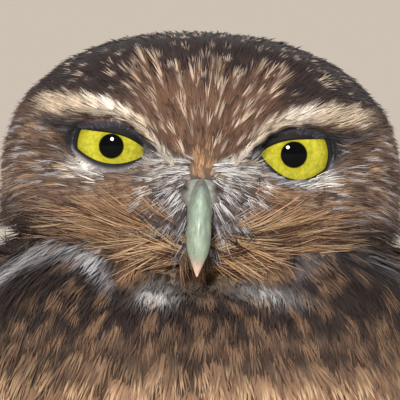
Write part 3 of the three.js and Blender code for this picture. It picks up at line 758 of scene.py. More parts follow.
def head_ground(local):
    """The plumage's colour at a place on the head: each region is laid over the last by a soft mask
    of the distance from the middle and the height."""
    side, depth, z = np.abs(local[..., 0]), local[..., 1], local[..., 2]
    front = 1 - soft(-17, -7, depth)
    streaky = local * np.array([0.45, 1, 1.6])
    tint = mix(SIDE_BROWN, BUFF, 0.5 * soft(0.6, 0.85, mottle(streaky, 0.9, 2.0)))
    tint = mix(tint, CROWN_BROWN * 0.7, 0.7 * soft(0.5, 0.8, mottle(streaky, 1.3, 5.0)))
    tint = mix(tint, PALE_GREY, 0.55 * soft(0.72, 0.9, mottle(streaky, 0.7, 9.0)) * soft(14, 24, side))
    tint = mix(tint, CROWN_BROWN, soft(8, 13, z))
    dark = np.maximum(soft(13.5, 18, z + 0.05 * side), soft(12, 15, z) * soft(28, 34, side))
    tint = mix(tint, CROWN_DARK, dark)
    nape = soft(-2, 8, depth) * (1 - soft(4, 16, z))
    tint = mix(tint, NAPE_BROWN, 0.85 * nape)
    fan = (1 - soft(7, 13, side - 0.32 * (z - 6))) * soft(2, 6, z) * (1 - soft(15, 23, z)) * front
    tint = mix(tint, FOREHEAD, fan * 0.9)
    # Painted shadow: the lower sides of the face darken to deep brown, the shade under the head where it
    # overhangs the shoulders.
    ruff = soft(-2, -8, z + 0.25 * (34 - np.minimum(side, 34))) * soft(22, 29, side)
    tint = mix(tint, DARK * 1.8, 0.85 * (ruff * (1 - soft(-4, 6, depth))))
    corner = bell(z - 8.8 - 0.12 * (side - 22), 1.1) * soft(20.5, 23.5, side) * (1 - soft(28, 33, side))
    tint = mix(tint, LID_GREY * 0.9, 0.85 * (corner * front))
    edge, rising = beyond_lids(local)
    white_below = bell(np.hypot((side - 21.5) * 0.45, z - 1.7 - 0.22 * (side - 20)), 1.3) * front
    tint = mix(tint, WHITE, 0.8 * white_below)
    tawny = bell(np.hypot((side - 13.5) * 0.4, z + 1.5), 2.0) * front
    tint = mix(tint, TAWNY, 0.5 * tawny)
    moustache = soft(-3.5, -6.5, z - 0.10 * side) * (1 - soft(15, 26, side)) * front
    warm = mix(TAWNY, RUFOUS, 0.8 * soft(0.45, 0.75, mottle(streaky, 1.0, 1.0)))
    tint = mix(tint, mix(warm, BUFF, 0.6 * soft(0.6, 0.8, mottle(streaky, 0.8, 4.0))), moustache * 0.85)
    lore = (1 - soft(8, 11.5, side + 0.35 * (z + 4))) * soft(-12, -8.5, z) * (1 - soft(-1, 2.5, z)) * front
    tint = mix(tint, LORE_GREY, 0.9 * lore)
    cross = bell(np.hypot((side - 6.3) * 0.45, z - 2.0), 2.1) * front
    cross = cross * (0.6 + 0.4 * mottle(local, 0.5, 2.0))
    tint = mix(tint, mix(PALE_GREY, CREAM, 0.7), 0.9 * cross)
    # Painted shade of the nostrils: a dark spot each side of the bill's base.
    tint = mix(tint, DARK * 0.7, bell(np.hypot(side - 3.9, (z + 0.7) * 0.8), 0.8) * front)
    whitest = np.maximum(0.45 * bell(side - 17.5, 4), 0.5 * bell(side - 6, 3.5))
    white = mix(mix(BUFF, CREAM, 0.6), WHITE, whitest)
    tint = mix(tint, white, brow_share(local))
    spot = (1 - soft(1.2, 2.8, side)) * soft(0.8, 2.4, z) * (1 - soft(5, 8, z)) * front
    tint = mix(tint, TAWNY, spot)
    lid = (1 - soft(1.9, 2.7, edge)) * soft(-0.35, 0.1, rising) * front
    under = (1 - soft(1.0, 1.9, edge)) * (1 - soft(-0.35, 0.1, rising)) * front
    tint = mix(tint, LID_GREY, lid)
    return mix(tint, mix(LID_GREY, PALE_GREY, 0.35 + 0.3 * mottle(local, 0.5, 3.0)), under)


def on_the_head(points):
    """True where the skin belongs to the head rather than to the neck."""
    local = bird_to_head(points)
    local[..., 1] += face_relief(local[..., 0], local[..., 2]) * soft(6, 16, -local[..., 1])
    return head_norm(local) < 1.0


def head_lie(local):
    """Feathers run away from the bill: up over the forehead and crown to the nape, out along the
    side of the face, down beside the bill, and on the cheeks out and up from the bill's tip."""
    side, depth, z = np.abs(local[:, 0]), local[:, 1], local[:, 2]
    above = np.where(z > 1, z - 1, 0)
    lore = (1 - soft(8, 13, side)) * (1 - soft(-1, 2, z))
    cheek = soft(-5, -8, z + 0.05 * side)
    up = above - 5 * lore * (1 - cheek) + cheek * 0.55 * (z + 17) * (1 - soft(10, 26, side))
    up = up + 1.5 * bell(z - 2, 3) * soft(14, 18, side) - 3.5 * soft(22, 34, side) * (1 - soft(4, 12, z))
    up = up - 22 * soft(24, 33, side) * (1 - soft(-6, 4, z)) + 7 * bell(side, 2.6) * soft(-2, 0, z)
    out = side * (1 - 0.5 * lore) + 0.6
    back = 4 + 26 * soft(-22, 8, depth)
    up = up * (1 - soft(-12, 10, depth)) - 26 * soft(-6, 22, depth)
    return np.stack([np.sign(local[:, 0]) * out, back, up], axis=1)


def head_vectors_to_bird(vectors):
    """Turns directions from the head's frame to the bird's."""
    return head_to_bird(vectors) - HEAD_CENTRE


def eye_clearance(local):
    """Distance from the nearer eye's line of sight, in the face's own plane, counted half more up
    and down, because the opening is wider than it is high."""
    return np.hypot(np.abs(local[..., 0]) - EYE_SIGHT, 1.5 * (local[..., 2] - EYE[2]))


def head_painter(shade, painted_root_shade=0.5, pale_shafts=0.0):
    """Makes a paint that asks the head's markings where each barb's outer half lies. Barbs differ a
    little in tone, and roots are darkened as painted shade under the other feathers."""
    def paint(way, across, index, at):
        """The markings times the feather's shade, with a pale shaft in some feathers."""
        local = bird_to_head(at[:, :, -2:-1])
        tint = head_ground(local) * shade[index][..., None]
        barb = 1 + 0.16 * np.sin(across[:, :, :1] * 23 + index[:, :, :1] * 2.4)
        chance = (np.sin(index * 12.9) > 1 - 2 * pale_shafts) * (1 - soft(3, 7, local[..., 2]))
        shaft = (1 - soft(0.1, 0.3, np.abs(across))) * soft(0.3, 0.6, way) * chance
        tint = mix(tint * barb[..., None], STREAK, 0.55 * shaft)
        # Roots darkened: painted shade where the barbs leave the skin.
        return mix(tint, tint * (1 - painted_root_shade), 1 - soft(0.0, 0.55, way))
    return paint


# %% [markdown]
# On the face the feathers are short and dense, like a pile, so that the relief of the brows and the
# eye dishes stays sharp. On the crown and nape they are longer and lie flatter. Fur strands would
# be lighter, but a bundle for each feather keeps the small steps that feathers make.

# %% Plumage of the face, crown and nape
def face_zone(points):
    """The front of the head, but for the eyes and the bill."""
    local = bird_to_head(points)
    clear = eye_clearance(local) > 6.4
    bill = (np.abs(local[:, 0]) < 2.6) & (local[:, 2] < -0.5) & (local[:, 2] > -16) & (local[:, 1] < -15)
    return on_the_head(points) & (local[:, 1] < -6) & clear & ~bill


def hood_zone(points):
    """The back of the head."""
    local = bird_to_head(points)
    return on_the_head(points) & (local[:, 1] >= -6) & (points[:, 2] > 150)


roots, normals = places(face_zone, 0.92)
local = bird_to_head(roots)
side, z = np.abs(local[:, 0]), local[:, 2]
lie = head_vectors_to_bird(head_lie(local) + random.normal(0, 1.0, local.shape))
high = soft(9, 15, z)
length = 3.3 + 1.3 * high + 0.8 * soft(20, 30, side) + random.normal(0, 0.2, len(roots))
length = np.where((side < 9) & (z < 4) & (z > -12), 2.9, length)
loose = soft(1, -7, z) * soft(22, 31, side)
length = length + 4.2 * loose
width = 1.15 + 0.75 * high
tilt = 0.20 - 0.14 * soft(12, 19, z) + 0.16 * brow_share(local) + 0.26 * loose
shade = np.exp(random.normal(0, 0.10, len(roots)))
paint_face = head_painter(shade, 0.5, 0.2)


def in_bands(name, value, edges, build):
    """Parts one coat into pieces by a value, so that each stays a moderate mesh."""
    for number, (low, high_edge) in enumerate(zip(edges[:-1], edges[1:])):
        build(f"{name}_{number + 1}", np.flatnonzero((value >= low) & (value < high_edge)))


def grow_face(name, kept):
    """The chosen feathers of the face as one piece."""
    feathers(name, roots[kept], normals[kept], lie[kept], length[kept], width[kept],
             lambda way, across, index, at: paint_face(way, across, kept[index], at), tilt=tilt[kept],
             bend=0.15, barbs=11, steps=3, sink=0.5, fullness=1.45, ragged=0.14, unwrap=unwrap_head)


in_bands("plumage_face", local[:, 2], [-30, 2, 11, 40], grow_face)

roots, normals = places(hood_zone, 1.45)
local = bird_to_head(roots)
lie = head_vectors_to_bird(head_lie(local) + random.normal(0, 1.0, local.shape))
count = len(roots)
low = soft(0, -11, local[:, 2])
length = 5.0 + 4.5 * low + random.normal(0, 0.3, count)
paint_hood = head_painter(np.exp(random.normal(0, 0.12, count)), 0.4, 0.1)
feathers("plumage_hood", roots, normals, lie, length, 2.2 + 1.0 * low, paint_hood, tilt=0.05 + 0.2 * low,
         bend=0.07, barbs=9, steps=3, sink=0.5, fullness=1.6, unwrap=unwrap_head)

# %% [markdown]
# The forehead's pale streaks and the crown's round spots are feathers of their own on top of the
# rest: a streak starts narrow at the bill and widens upward, and a spot sits near a feather's tip.

# %% Streaks and spots
def streak_zone(points):
    """A fan on the forehead that widens upward from the bill."""
    local = bird_to_head(points)
    side, z = np.abs(local[:, 0]), local[:, 2]
    fan = (side - 0.45 * (z - 4) < 6.5) & (z > 4.5) & (z < 19.5) & (local[:, 1] < -8)
    return on_the_head(points) & fan & (brow_share(local) < 0.1)


def spot_zone(points):
    """The top and the back of the head, clear of the brows."""
    local = bird_to_head(points)
    side, z = np.abs(local[:, 0]), local[:, 2]
    above = (z > 16.5) | ((local[:, 1] > 0) & (z > -8)) | ((z > 14) & (side > 12))
    return on_the_head(points) & above & (brow_share(local) < 0.05)


def paint_streak(way, across, index, at):
    """Pale in the middle of the feather, widening to the tip, brown at the edges."""
    pale = (1 - soft(0.3, 0.7, np.abs(across) / (0.35 + 0.75 * way))) * soft(0.15, 0.4, way)
    light = (0.45 + 0.6 * np.sin(index * 5.1) ** 2)[..., None]
    return mix(FOREHEAD * 0.6, STREAK * light, pale * 0.95)


def paint_spot(way, across, index, at):
    """Dark, with a round pale spot before the tip."""
    pale = 1 - soft(0.45, 0.85, np.hypot(across, (way - 0.76) * 2.5))
    light = (0.45 + 0.5 * np.sin(index * 3.7) ** 2)[..., None]
    return mix(CROWN_DARK, STREAK * light, pale * 0.9)


for name, zone, spacing, long, wide, rise, paint in (
        ("forehead_streaks", streak_zone, 2.3, 4.4, 2.3, 0.22, paint_streak),
        ("crown_spots", spot_zone, 3.6, 4.6, 3.1, 0.10, paint_spot)):
    roots, normals = places(zone, spacing)
    lie = head_vectors_to_bird(head_lie(bird_to_head(roots)) + random.normal(0, 0.8, roots.shape))
    length = long * (1 + random.normal(0, 0.12, len(roots)))
    feathers(name, roots, normals, lie, length, np.full(len(roots), wide), paint, tilt=rise, bend=0.14,
             barbs=14, steps=5, sink=0.0, fullness=1.7, ragged=0.06, unwrap=unwrap_head)

# %% [markdown]
# From below the eyes a tawny moustache of long loose strands sweeps out over the cheeks, with dark
# gaps between the strands, painted as shade by darker strands and dark roots. Beside the bill the
# lores carry fine grey bristles, and a few long white ones lie under each eye. All are the same
# bundles as the plumage, but narrower and apart.

# %% Cheek strands, lore bristles and the white strands of the face
def by_lot(lot, limits, tints):
    """One of several tints for each feather, by the limits that its lot lies between."""
    return np.stack(tints)[np.searchsorted(limits, lot, side="right")]


def cheek_zone(points):
    """Below the eyes and beside the bill, out to the ruff."""
    local = bird_to_head(points)
    side, depth, z = np.abs(local[:, 0]), local[:, 1], local[:, 2]
    return on_the_head(points) & (depth < -6) & (side > 1.0) & (side < 27) & (z < -9.5 + 0.20 * side)


roots, normals = places(cheek_zone, 1.0)
local = bird_to_head(roots)
side, z = np.abs(local[:, 0]), local[:, 2]
rise = (0.90 - 0.85 * soft(5, 24, side) + 0.03 * (z + 12)) * (side * 0.7 + 3) - 1.2 * soft(18, 28, side)
aim = np.stack([np.sign(local[:, 0]) * (side * 0.7 + 3), 1.5 + 0.35 * side, rise], axis=1)
lie = head_vectors_to_bird(aim + random.normal(0, 0.7, aim.shape))
length = 7.0 + 3.5 * bell(side - 6, 8) + random.normal(0, 0.9, len(roots))
hue = random.random(len(roots))
# Darkened copies of tawny and rufous are painted shade in the gaps between strands; toward the side,
# lighter and darker copies of the side's brown are painted light and shade.
warm = by_lot(hue, (0.28, 0.52, 0.76), (TAWNY, BUFF, TAWNY * 0.45, RUFOUS * 0.5))
warm = mix(warm, SIDE_BROWN * np.where(hue < 0.4, 1.3, 0.5)[:, None], soft(13, 24, side) * 0.7)


def paint_cheek(way, across, index, at):
    """Dark at the root as painted shade, tawny, buff or rufous by strand, and a little paler at the tip as
    a painted highlight.
    """
    tint = warm[index] * (1 + 0.25 * np.sin(across * 17 + index * 1.7))[..., None]
    # Painted shade at the root, painted highlight at the tip.
    tint = mix(tint, DARK, 0.8 * (1 - soft(0.05, 0.4, way)))
    return mix(tint, tint * 1.5 + 0.05, soft(0.7, 1, way))


feathers("cheek_strands", roots, normals, lie, length, np.full(len(roots), 1.0), paint_cheek, tilt=0.26,
         bend=0.20, barbs=5, steps=5, fullness=1.0, ragged=0.2, unwrap=unwrap_head)


def fan_zone(points):
    """Close beside the bill, where the moustache starts."""
    local = bird_to_head(points)
    side, z = np.abs(local[:, 0]), local[:, 2]
    return on_the_head(points) & (side > 0.6) & (side < 6.5) & (z < -9) & (z > -17) & (local[:, 1] < -16)


roots, normals = places(fan_zone, 0.6)
local = bird_to_head(roots)
side = np.abs(local[:, 0])
climb = np.radians(-38 + 80 * random.random(len(roots)) ** 0.8)
aim = np.stack([np.sign(local[:, 0]) * np.cos(climb), np.full_like(climb, 0.25), np.sin(climb)], axis=1)
# As on the cheeks, the darkened copies of tawny and rufous are painted shade between the strands.
warm = by_lot(random.random(len(roots)), (0.3, 0.6, 0.8), (TAWNY, BUFF, TAWNY * 0.42, RUFOUS * 0.45))
forward = unit(normals + head_vectors_to_bird(np.array([0, -0.6, 0])))
length = 8 + 6 * random.random(len(roots))
feathers("moustache", roots, forward, head_vectors_to_bird(aim), length, np.full(len(roots), 0.9),
         paint_cheek, tilt=0.14, bend=0.13, barbs=4, steps=7, fullness=0.9, ragged=0.2, sink=0.0,
         unwrap=unwrap_head)


def lore_zone(points):
    """Between the bill and each eye."""
    local = bird_to_head(points)
    side, depth, z = np.abs(local[:, 0]), local[:, 1], local[:, 2]
    return on_the_head(points) & (depth < -15) & (side > 1.3) & (side < 10.5) & (z > -11.5) & (z < 4)


roots, normals = places(lore_zone, 0.62)
local = bird_to_head(roots)
side = np.abs(local[:, 0])
keep = eye_clearance(local) > 6.2
roots, normals, local, side = roots[keep], normals[keep], local[keep], side[keep]
outward = np.sign(local[:, 0]) * (1.6 + 0.30 * side)
aim = np.stack([outward, np.full_like(side, -1.0), local[:, 2] * 0.5 - 1.6], axis=1)
lie = head_vectors_to_bird(aim + random.normal(0, 0.7, aim.shape))
length = 2.8 + 1.8 * random.random(len(roots))
pale = random.random(len(roots)) < 0.34 + 0.4 * soft(-5, 1, local[:, 2])
light = mix(PALE_GREY * 0.75, WHITE * 0.85, random.random(len(roots)) * soft(-7, 2, local[:, 2]))
dusky = LORE_GREY * (0.55 + 0.5 * random.random((len(roots), 1)))
bristle = np.where(pale[:, None], light, dusky)


def paint_lore(way, across, index, at):
    """Grey bristles, some of them pale, darkened where they leave the skin as painted shade."""
    return mix(bristle[index], DARK, 0.6 * (1 - soft(0.05, 0.45, way)))


tilt = 0.23 + 0.3 * (1 - soft(3, 5.5, side))
feathers("lore_bristles", roots, normals, lie, length, np.full(len(roots), 0.7), paint_lore, tilt=tilt,
         bend=0.17, barbs=4, steps=4, fullness=0.8, ragged=0.25, unwrap=unwrap_head)


def strand_zone(points):
    """A short band under each eye that rises outward."""
    local = bird_to_head(points)
    side, z = np.abs(local[:, 0]), local[:, 2]
    below = bell(np.hypot((side - 19.5) * 0.42, z - 0.9 - 0.22 * (side - 20)), 1.4) > 0.35
    return on_the_head(points) & below & (eye_clearance(local) > 5.5) & (local[:, 1] < -4)


roots, normals = places(strand_zone, 1.1)
local = bird_to_head(roots)
rising = 0.8 + 0.45 * np.maximum(local[:, 2] - 3, 0)
aim = np.stack([np.sign(local[:, 0]) * 8, np.full_like(rising, 2.5), rising], axis=1)
lie = head_vectors_to_bird(aim + random.normal(0, 0.6, aim.shape))


def paint_strand(way, across, index, at):
    """White hairs with a cream root, some of them greyer."""
    light = (0.65 + 0.4 * np.sin(index * 7.7) ** 2)[..., None]
    return mix(BUFF * 0.6, WHITE * light, soft(0.1, 0.5, way))


length = 4.6 + random.random(len(roots))
feathers("white_strands", roots, normals, lie, length, np.full(len(roots), 0.6), paint_strand, tilt=0.24,
         bend=0.18, barbs=3, steps=4, fullness=0.7, ragged=0.2, unwrap=unwrap_head)

# %% [markdown]
# Below the head the coat is made of larger contour feathers. The lie is simply down the body,
# pressed onto the skin. The markings run from the white throat and its dark collar, over a brown
# breast with buff spots, to a pale belly with brown bars. The back is brown with pale spots.

# %% Body colours
BREAST_BROWN = colour(128, 100, 78)
BACK_BROWN = colour(104, 80, 64)
BELLY = colour(226, 210, 186)
BAR_BROWN = colour(120, 88, 66)
LEG_PALE = colour(222, 206, 182)


def trunk_ground(points):
    """Colour by height and by bearing from the front: throat patches, collar, breast, belly, back
    and the pale arc over each shoulder."""
    x, y, z = points[..., 0], points[..., 1], points[..., 2]
    side = np.abs(x)
    bearing = np.arctan2(side, -(y + 2))
    uneven = mottle(points, 1.5, 4.0)
    tint = mix(BREAST_BROWN, BELLY, 1 - soft(84, 116, z + 10 * soft(0.6, 1.5, bearing)))
    tint = mix(tint, BACK_BROWN, soft(1.15, 1.7, bearing) * soft(58, 76, z))
    collar = mix(DARK * 1.5, BREAST_BROWN, 0.7 * soft(0.5, 0.8, uneven))
    tint = mix(tint, collar, soft(135, 141, z) * (1 - soft(1.5, 2.2, bearing)))
    front = 1 - soft(1.0, 1.4, bearing)
    arc = bell(z - 155.6 + 0.055 * (side - 27) ** 2, 1.7) * soft(15, 19, side)
    tint = mix(tint, PALE_GREY, arc * front * np.where(x < 0, 0.75, 0.18))
    torn = 0.55 + 0.45 * soft(0.25, 0.6, mottle(points * np.array([1.6, 1, 0.7]), 0.9, 2.0))
    left_patch = 0.85 * bell(np.hypot((x + 8) / 2.0, z - 147.5), 1.6) * torn
    right_patch = 0.8 * bell(np.hypot((x - 12) / 3.6, z - 147.8 + 0.14 * (x - 12)), 1.4) * torn
    patches = front * np.maximum(left_patch, 0.75 * right_patch)
    tint = mix(tint, mix(PALE_GREY, WHITE, 0.5), patches)
    tuft = bell(np.hypot((side - 12.5) * 0.7, z - 151.5), 1.9)
    tuft = tuft + 0.8 * bell(np.hypot(side * 0.55, z - 151), 2.6)
    tint = mix(tint, TAWNY, 0.75 * np.minimum(tuft, 1) * front)
    return mix(tint, BUFF, 0.8 * bell(np.hypot((x - 5) * 0.5, z - 150.5), 1.2))


def trunk_zone(points):
    """Everything below the head but the legs."""
    return ~on_the_head(points) & (points[:, 2] > 52) & ~leg_zone(points)


def leg_zone(points):
    """True on thigh and shank: below the trunk's own sections, or outside them."""
    z, side = points[:, 2], np.abs(points[:, 0])
    near = np.hypot(side - LEG_X - 0.5, (points[:, 1] - LEG_Y - 4) * 0.9) < 13.5
    return near & (z < 62) & (z > 8)


def trunk_lie(points):
    """Down the body, drawn a little back along the flanks."""
    x, y, z = points[:, 0], points[:, 1], points[:, 2]
    spread = unit(np.stack([x, y + 4, np.zeros_like(x)], axis=1)) * 1.4 * soft(147, 155, z)[:, None]
    down = np.stack([x * 0.012, 0.10 + 0.25 * soft(-20, 20, y), np.full(len(points), -1.0)], axis=1)
    return down + spread


roots, normals = places(trunk_zone, 2.15)
lie = trunk_lie(roots) + random.normal(0, 0.07, roots.shape)
x, y, z = roots.T
bearing = np.arctan2(np.abs(x), -(y + 2))
high = soft(128, 156, z)
length = 9.0 - 3.4 * high + random.normal(0, 0.5, len(roots))
length = length + 10 * soft(40, 46, y) * (1 - soft(72, 84, z))
length = length + 3 * soft(24, 32, y) * (1 - soft(90, 100, z))
width = 4.6 - 1.6 * high
ground = trunk_ground(roots)
shade = np.exp(random.normal(0, 0.13, len(roots)))
luck = random.random(len(roots))
is_back = soft(1.15, 1.6, bearing) * soft(58, 76, z)
is_belly = (1 - is_back) * (1 - soft(88, 118, z)) * soft(58, 74, z)
is_breast = (1 - is_back) * soft(100, 118, z) * (1 - soft(132, 142, z))


def paint_trunk(way, across, index, at):
    """A round pale spot near the tip on the back, a wide one on the breast, and a brown bar
    across the belly's feathers."""
    marks = trunk_ground(at[:, :, -2:-1])
    tint = mix(ground[index], marks, soft(136, 142, at[..., 2])) * shade[index][..., None]
    # Each barb darkens toward its root: painted shade under the overlapping feathers.
    tint = mix(tint, tint * 0.5, 0.9 * (1 - soft(0.05, 0.55, way)))
    spot = (1 - soft(0.35, 0.7, np.abs(across + 0.3 * np.sin(index * 3.1)))) * bell(way - 0.72, 0.22)
    tint = mix(tint, BELLY, is_back[index] * (luck[index] < 0.5) * spot)
    blot = (1 - soft(0.5, 0.9, np.abs(across))) * bell(way - 0.75, 0.2)
    tint = mix(tint, BUFF * 1.15, is_breast[index] * (luck[index] < 0.62) * blot)
    bar = bell(way - 0.62, 0.17)
    return mix(tint, BAR_BROWN, is_belly[index] * bar * (luck[index] < 0.9))


def grow_trunk(name, kept):
    """The chosen feathers of the trunk as one piece."""
    feathers(name, roots[kept], normals[kept], lie[kept], length[kept], width[kept],
             lambda way, across, index, at: paint_trunk(way, across, kept[index], at), tilt=0.17, bend=0.12,
             barbs=11, steps=4, sink=0.8, fullness=1.8, ragged=0.1, unwrap=unwrap_trunk)


in_bands("plumage_trunk", z, [0, 92, 124, 200], grow_trunk)

# %% [markdown]
# The head is sunk into the collar, so the down there stands off the skin and fills the fold under
# the cheeks. It is finer than the rest, and rooted in the fold itself.

# %% Throat and collar
def collar_zone(points):
    """The fold between the head and the shoulders, and the underside of the head."""
    local = bird_to_head(points)
    under = on_the_head(points) & (local[:, 2] < -11)
    return ((~on_the_head(points) & (points[:, 2] > 141.5)) | under) & (points[:, 1] < 30)


roots, normals = places(collar_zone, 1.12)
x, y, z = roots.T
outward = unit(np.stack([x, y + 4, np.zeros_like(x)], axis=1))
stand = soft(147, 154, z)
shoulder = soft(27, 32, np.abs(x)) * soft(149, 154, z) * (1 - soft(-8, 4, y))
lie = outward * (0.25 + 1.2 * stand)[:, None] + np.array([0, 0, 1.0]) * (2.2 * shoulder - 1)[:, None]
lie = lie + random.normal(0, 0.12, roots.shape)
shade = np.exp(random.normal(0, 0.18, len(roots)))


def paint_collar(way, across, index, at):
    """The trunk's markings where each barb's outer half lies, and roots darkened as painted shade in the
    fold.
    """
    tint = trunk_ground(at[:, :, -2:-1]) * shade[index][..., None]
    tint = tint * (1 + 0.2 * np.sin(across * 19 + index * 2.1))[..., None]
    return mix(tint, tint * 0.35, 1 - soft(0.05, 0.6, way))


length = 4.8 + 2.0 * soft(20, 28, np.abs(x)) * stand + 2.5 * shoulder + random.normal(0, 0.5, len(roots))
feathers("collar_down", roots, normals, lie, length, np.full(len(roots), 1.5), paint_collar,
         tilt=0.22 + 0.26 * stand, bend=0.16, barbs=8, steps=3, sink=0.1, fullness=1.3, ragged=0.2,
         unwrap=unwrap_trunk)

# %% [markdown]
# The long legs wear a short pale down, close as a stocking, and a little longer on the thighs. The
# same bundles serve, only smaller, so that the shanks keep their slim outline.

# %% Legs
roots, normals = places(leg_zone, 1.3)
z = roots[:, 2]
lie = np.array([0, 0.05, -1.0]) + random.normal(0, 0.08, roots.shape)
length = 2.8 + 3.6 * soft(28, 50, z)
width = 1.3 + 1.4 * soft(28, 50, z)
shade = np.exp(random.normal(0, 0.1, len(roots)))
leg_tint = mix(LEG_PALE * 0.92, BELLY, soft(30, 50, z))


def paint_leg(way, across, index, at):
    """Pale short down, darkened at its roots as painted shade."""
    tint = leg_tint[index] * shade[index][..., None]
    return mix(tint, tint * 0.5, 0.8 * (1 - soft(0.05, 0.5, way)))


feathers("plumage_legs", roots, normals, lie, length, width, paint_leg, tilt=0.2, bend=0.14, barbs=7,
         steps=3, unwrap=unwrap_trunk)

# %% [markdown]
# The skin shows only in slits between the feathers. A plain dark body would do, but the coat's own
# colours, darkened, make each slit look like the shade under a feather.

# %% Skin finish
on_head_now = on_the_head(skin_points)[:, None]
skin_tint = np.where(on_head_now, head_ground(bird_to_head(skin_points)), trunk_ground(skin_points)) * 0.3
paint_piece(skin, skin_tint)
skin.data.materials.clear()
skin.data.materials.append(coat_finish)
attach(skin, "root")
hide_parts("head", "neck", "torso", "thigh_left", "thigh_right", "shank_left", "shank_right")

# %% [markdown]
# A flight feather is one wide vane with a shaft, so it is a grid rather than a bundle: its middle
# line runs down the envelope that the folded wing lies on, and each tier lies a little higher
# than the one before. The pale bars are painted on its grid.

# %% Flight feathers
VANE_TILT = 1.3
SHAFT = colour(70, 52, 42)
WING_BROWN = colour(98, 76, 62)
WING_PALE = colour(186, 164, 136)

TIERS = [
    # count, first and last bearing, first and last height, first and last length, width, rise, drift
    ("primaries", 9, (74, 106), (92, 95), (44, 73), 9, 1.1, 26),
    ("secondaries", 9, (98, 144), (97, 102), (48, 44), 11, 2.6, 6),
    ("greater", 9, (72, 136), (106, 108), (26, 26), 10.5, 4.2, 8),
    ("median", 8, (70, 130), (118, 120), (20, 20), 11, 5.0, 6),
    ("scapulars", 6, (132, 158), (134, 137), (46, 36), 12, 4.6, -4),
]


def vane_grid(side, height, bearing, length, width, rise, drift, rows=34, columns=9):
    """The middle line is followed down the envelope by equal arc lengths. Across it, the bearing
    runs by the half width, and the lift falls from the outer edge to the inner, with a low crown
    at the shaft."""
    fine = np.linspace(0, 1, 200)
    trial = height - length * 1.15 * fine
    line = on_stack(ENVELOPE, trial, np.radians(bearing + drift * fine**2))
    arc = np.concatenate([[0], np.cumsum(np.linalg.norm(np.diff(line, axis=0), axis=1))])
    share = np.linspace(0, 1, rows)[:, None]
    z = np.interp(share * length, arc, trial)
    middle = np.radians(bearing + drift * share**2)
    stride = on_stack(ENVELOPE, z, middle + 0.02) - on_stack(ENVELOPE, z, middle)
    per_radian = np.linalg.norm(stride, axis=-1) / 0.02
    across = np.linspace(-1, 1, columns)[None, :]
    angle = middle + across * (width / 2) * vane_outline(share, 0.72, 0.285) / per_radian
    rising = soft(0, 0.4, share)
    crown = 0.5 * (1 - np.abs(across) ** 1.5)
    lift = -1.4 + (rise + 1.4) * rising + VANE_TILT * (1 - across) / 2 * rising + crown
    points = on_stack(ENVELOPE, z * np.ones_like(angle), angle, lift) * np.array([side, 1, 1])
    return points, share * np.ones_like(angle), across * np.ones_like(angle)


def vane_outline(share, full, taper):
    """Half the width at the root and whole from 0.3 on, with a rounded end past the full share."""
    end = np.clip((share - full) / taper, 0, 1)
    return (0.5 + 0.5 * soft(0, 0.3, share)) * np.sqrt(np.clip(1 - end**2, 0, 1))


def grid_quads(rows, columns, first=0):
    """Quads of one open grid."""
    row, column = np.meshgrid(np.arange(rows - 1), np.arange(columns - 1), indexing="ij")
    a = first + row * columns + column
    return np.stack([a, a + 1, a + columns + 1, a + columns], axis=-1).reshape(-1, 4)


def vane_tint(share, across, bars, seed, spotty):
    """Brown with a dark shaft. Pale oval notches run along both edges, wider on the outer web: each
    is where a wave along the vane and the nearness of the edge are both high."""
    bent = share + 0.03 * np.sin(across * 3 + seed * 3)
    wave = soft(0.25, 0.9, np.sin(bent * bars * 2 * np.pi + seed))
    web = np.where(across < 0, soft(0.22, 0.55, -across), 0.6 * soft(0.35, 0.8, across))
    edge = 1 - soft(0.9, 0.98, share)
    brown = WING_BROWN * (0.9 + 0.2 * math.sin(seed * 5.0))
    tint = mix(brown, WING_PALE, wave * web * edge * spotty)
    tint = mix(tint, BUFF * 0.8, soft(0.94, 1.0, share) * 0.6)
    return mix(tint, SHAFT, (1 - soft(0.02, 0.09, np.abs(across))) * 0.7)


def vanes_piece(name, grids, tints, unwrap, replaced):
    """Joins vane grids into one piece, gives them a thin body and their maps."""
    rows, columns = grids[0][0].shape[:2]
    points = np.concatenate([grid[0].reshape(-1, 3) for grid in grids])
    firsts = np.arange(len(grids)) * rows * columns
    quads = np.concatenate([grid_quads(rows, columns, first) for first in firsts])
    piece = mesh_piece(name, points, quads)
    paint_piece(piece, np.concatenate([tint.reshape(-1, 3) for tint in tints]))
    roots = unwrap(np.stack([grid[0][0, columns // 2] for grid in grids]))
    spans = [np.stack([grid[2] * 0.25, grid[1]], axis=-1) for grid in grids]
    patches = [root + PATCH * 12 * span for root, span in zip(roots, spans)]
    map_piece(piece, "OFBake", np.concatenate([patch.reshape(-1, 2) for patch in patches]))
    vane_map = np.concatenate([np.stack([grid[2], grid[1]], axis=-1).reshape(-1, 2) for grid in grids])
    map_piece(piece, "vane", vane_map)
    body = piece.modifiers.new("body", "SOLIDIFY")
    body.thickness, body.offset = 0.22 * MM, 0
    apply_modifiers(piece)
    piece.data.materials.clear()
    piece.data.materials.append(vane_finish)
    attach(piece, "root")
    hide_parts(*replaced)
    print(f"{name}: {len(grids)} vanes")
    return piece


vane_finish = tinted_material("vane", 0.62, 0.3, (900, 900, 220), 0.8, **DOWNY)

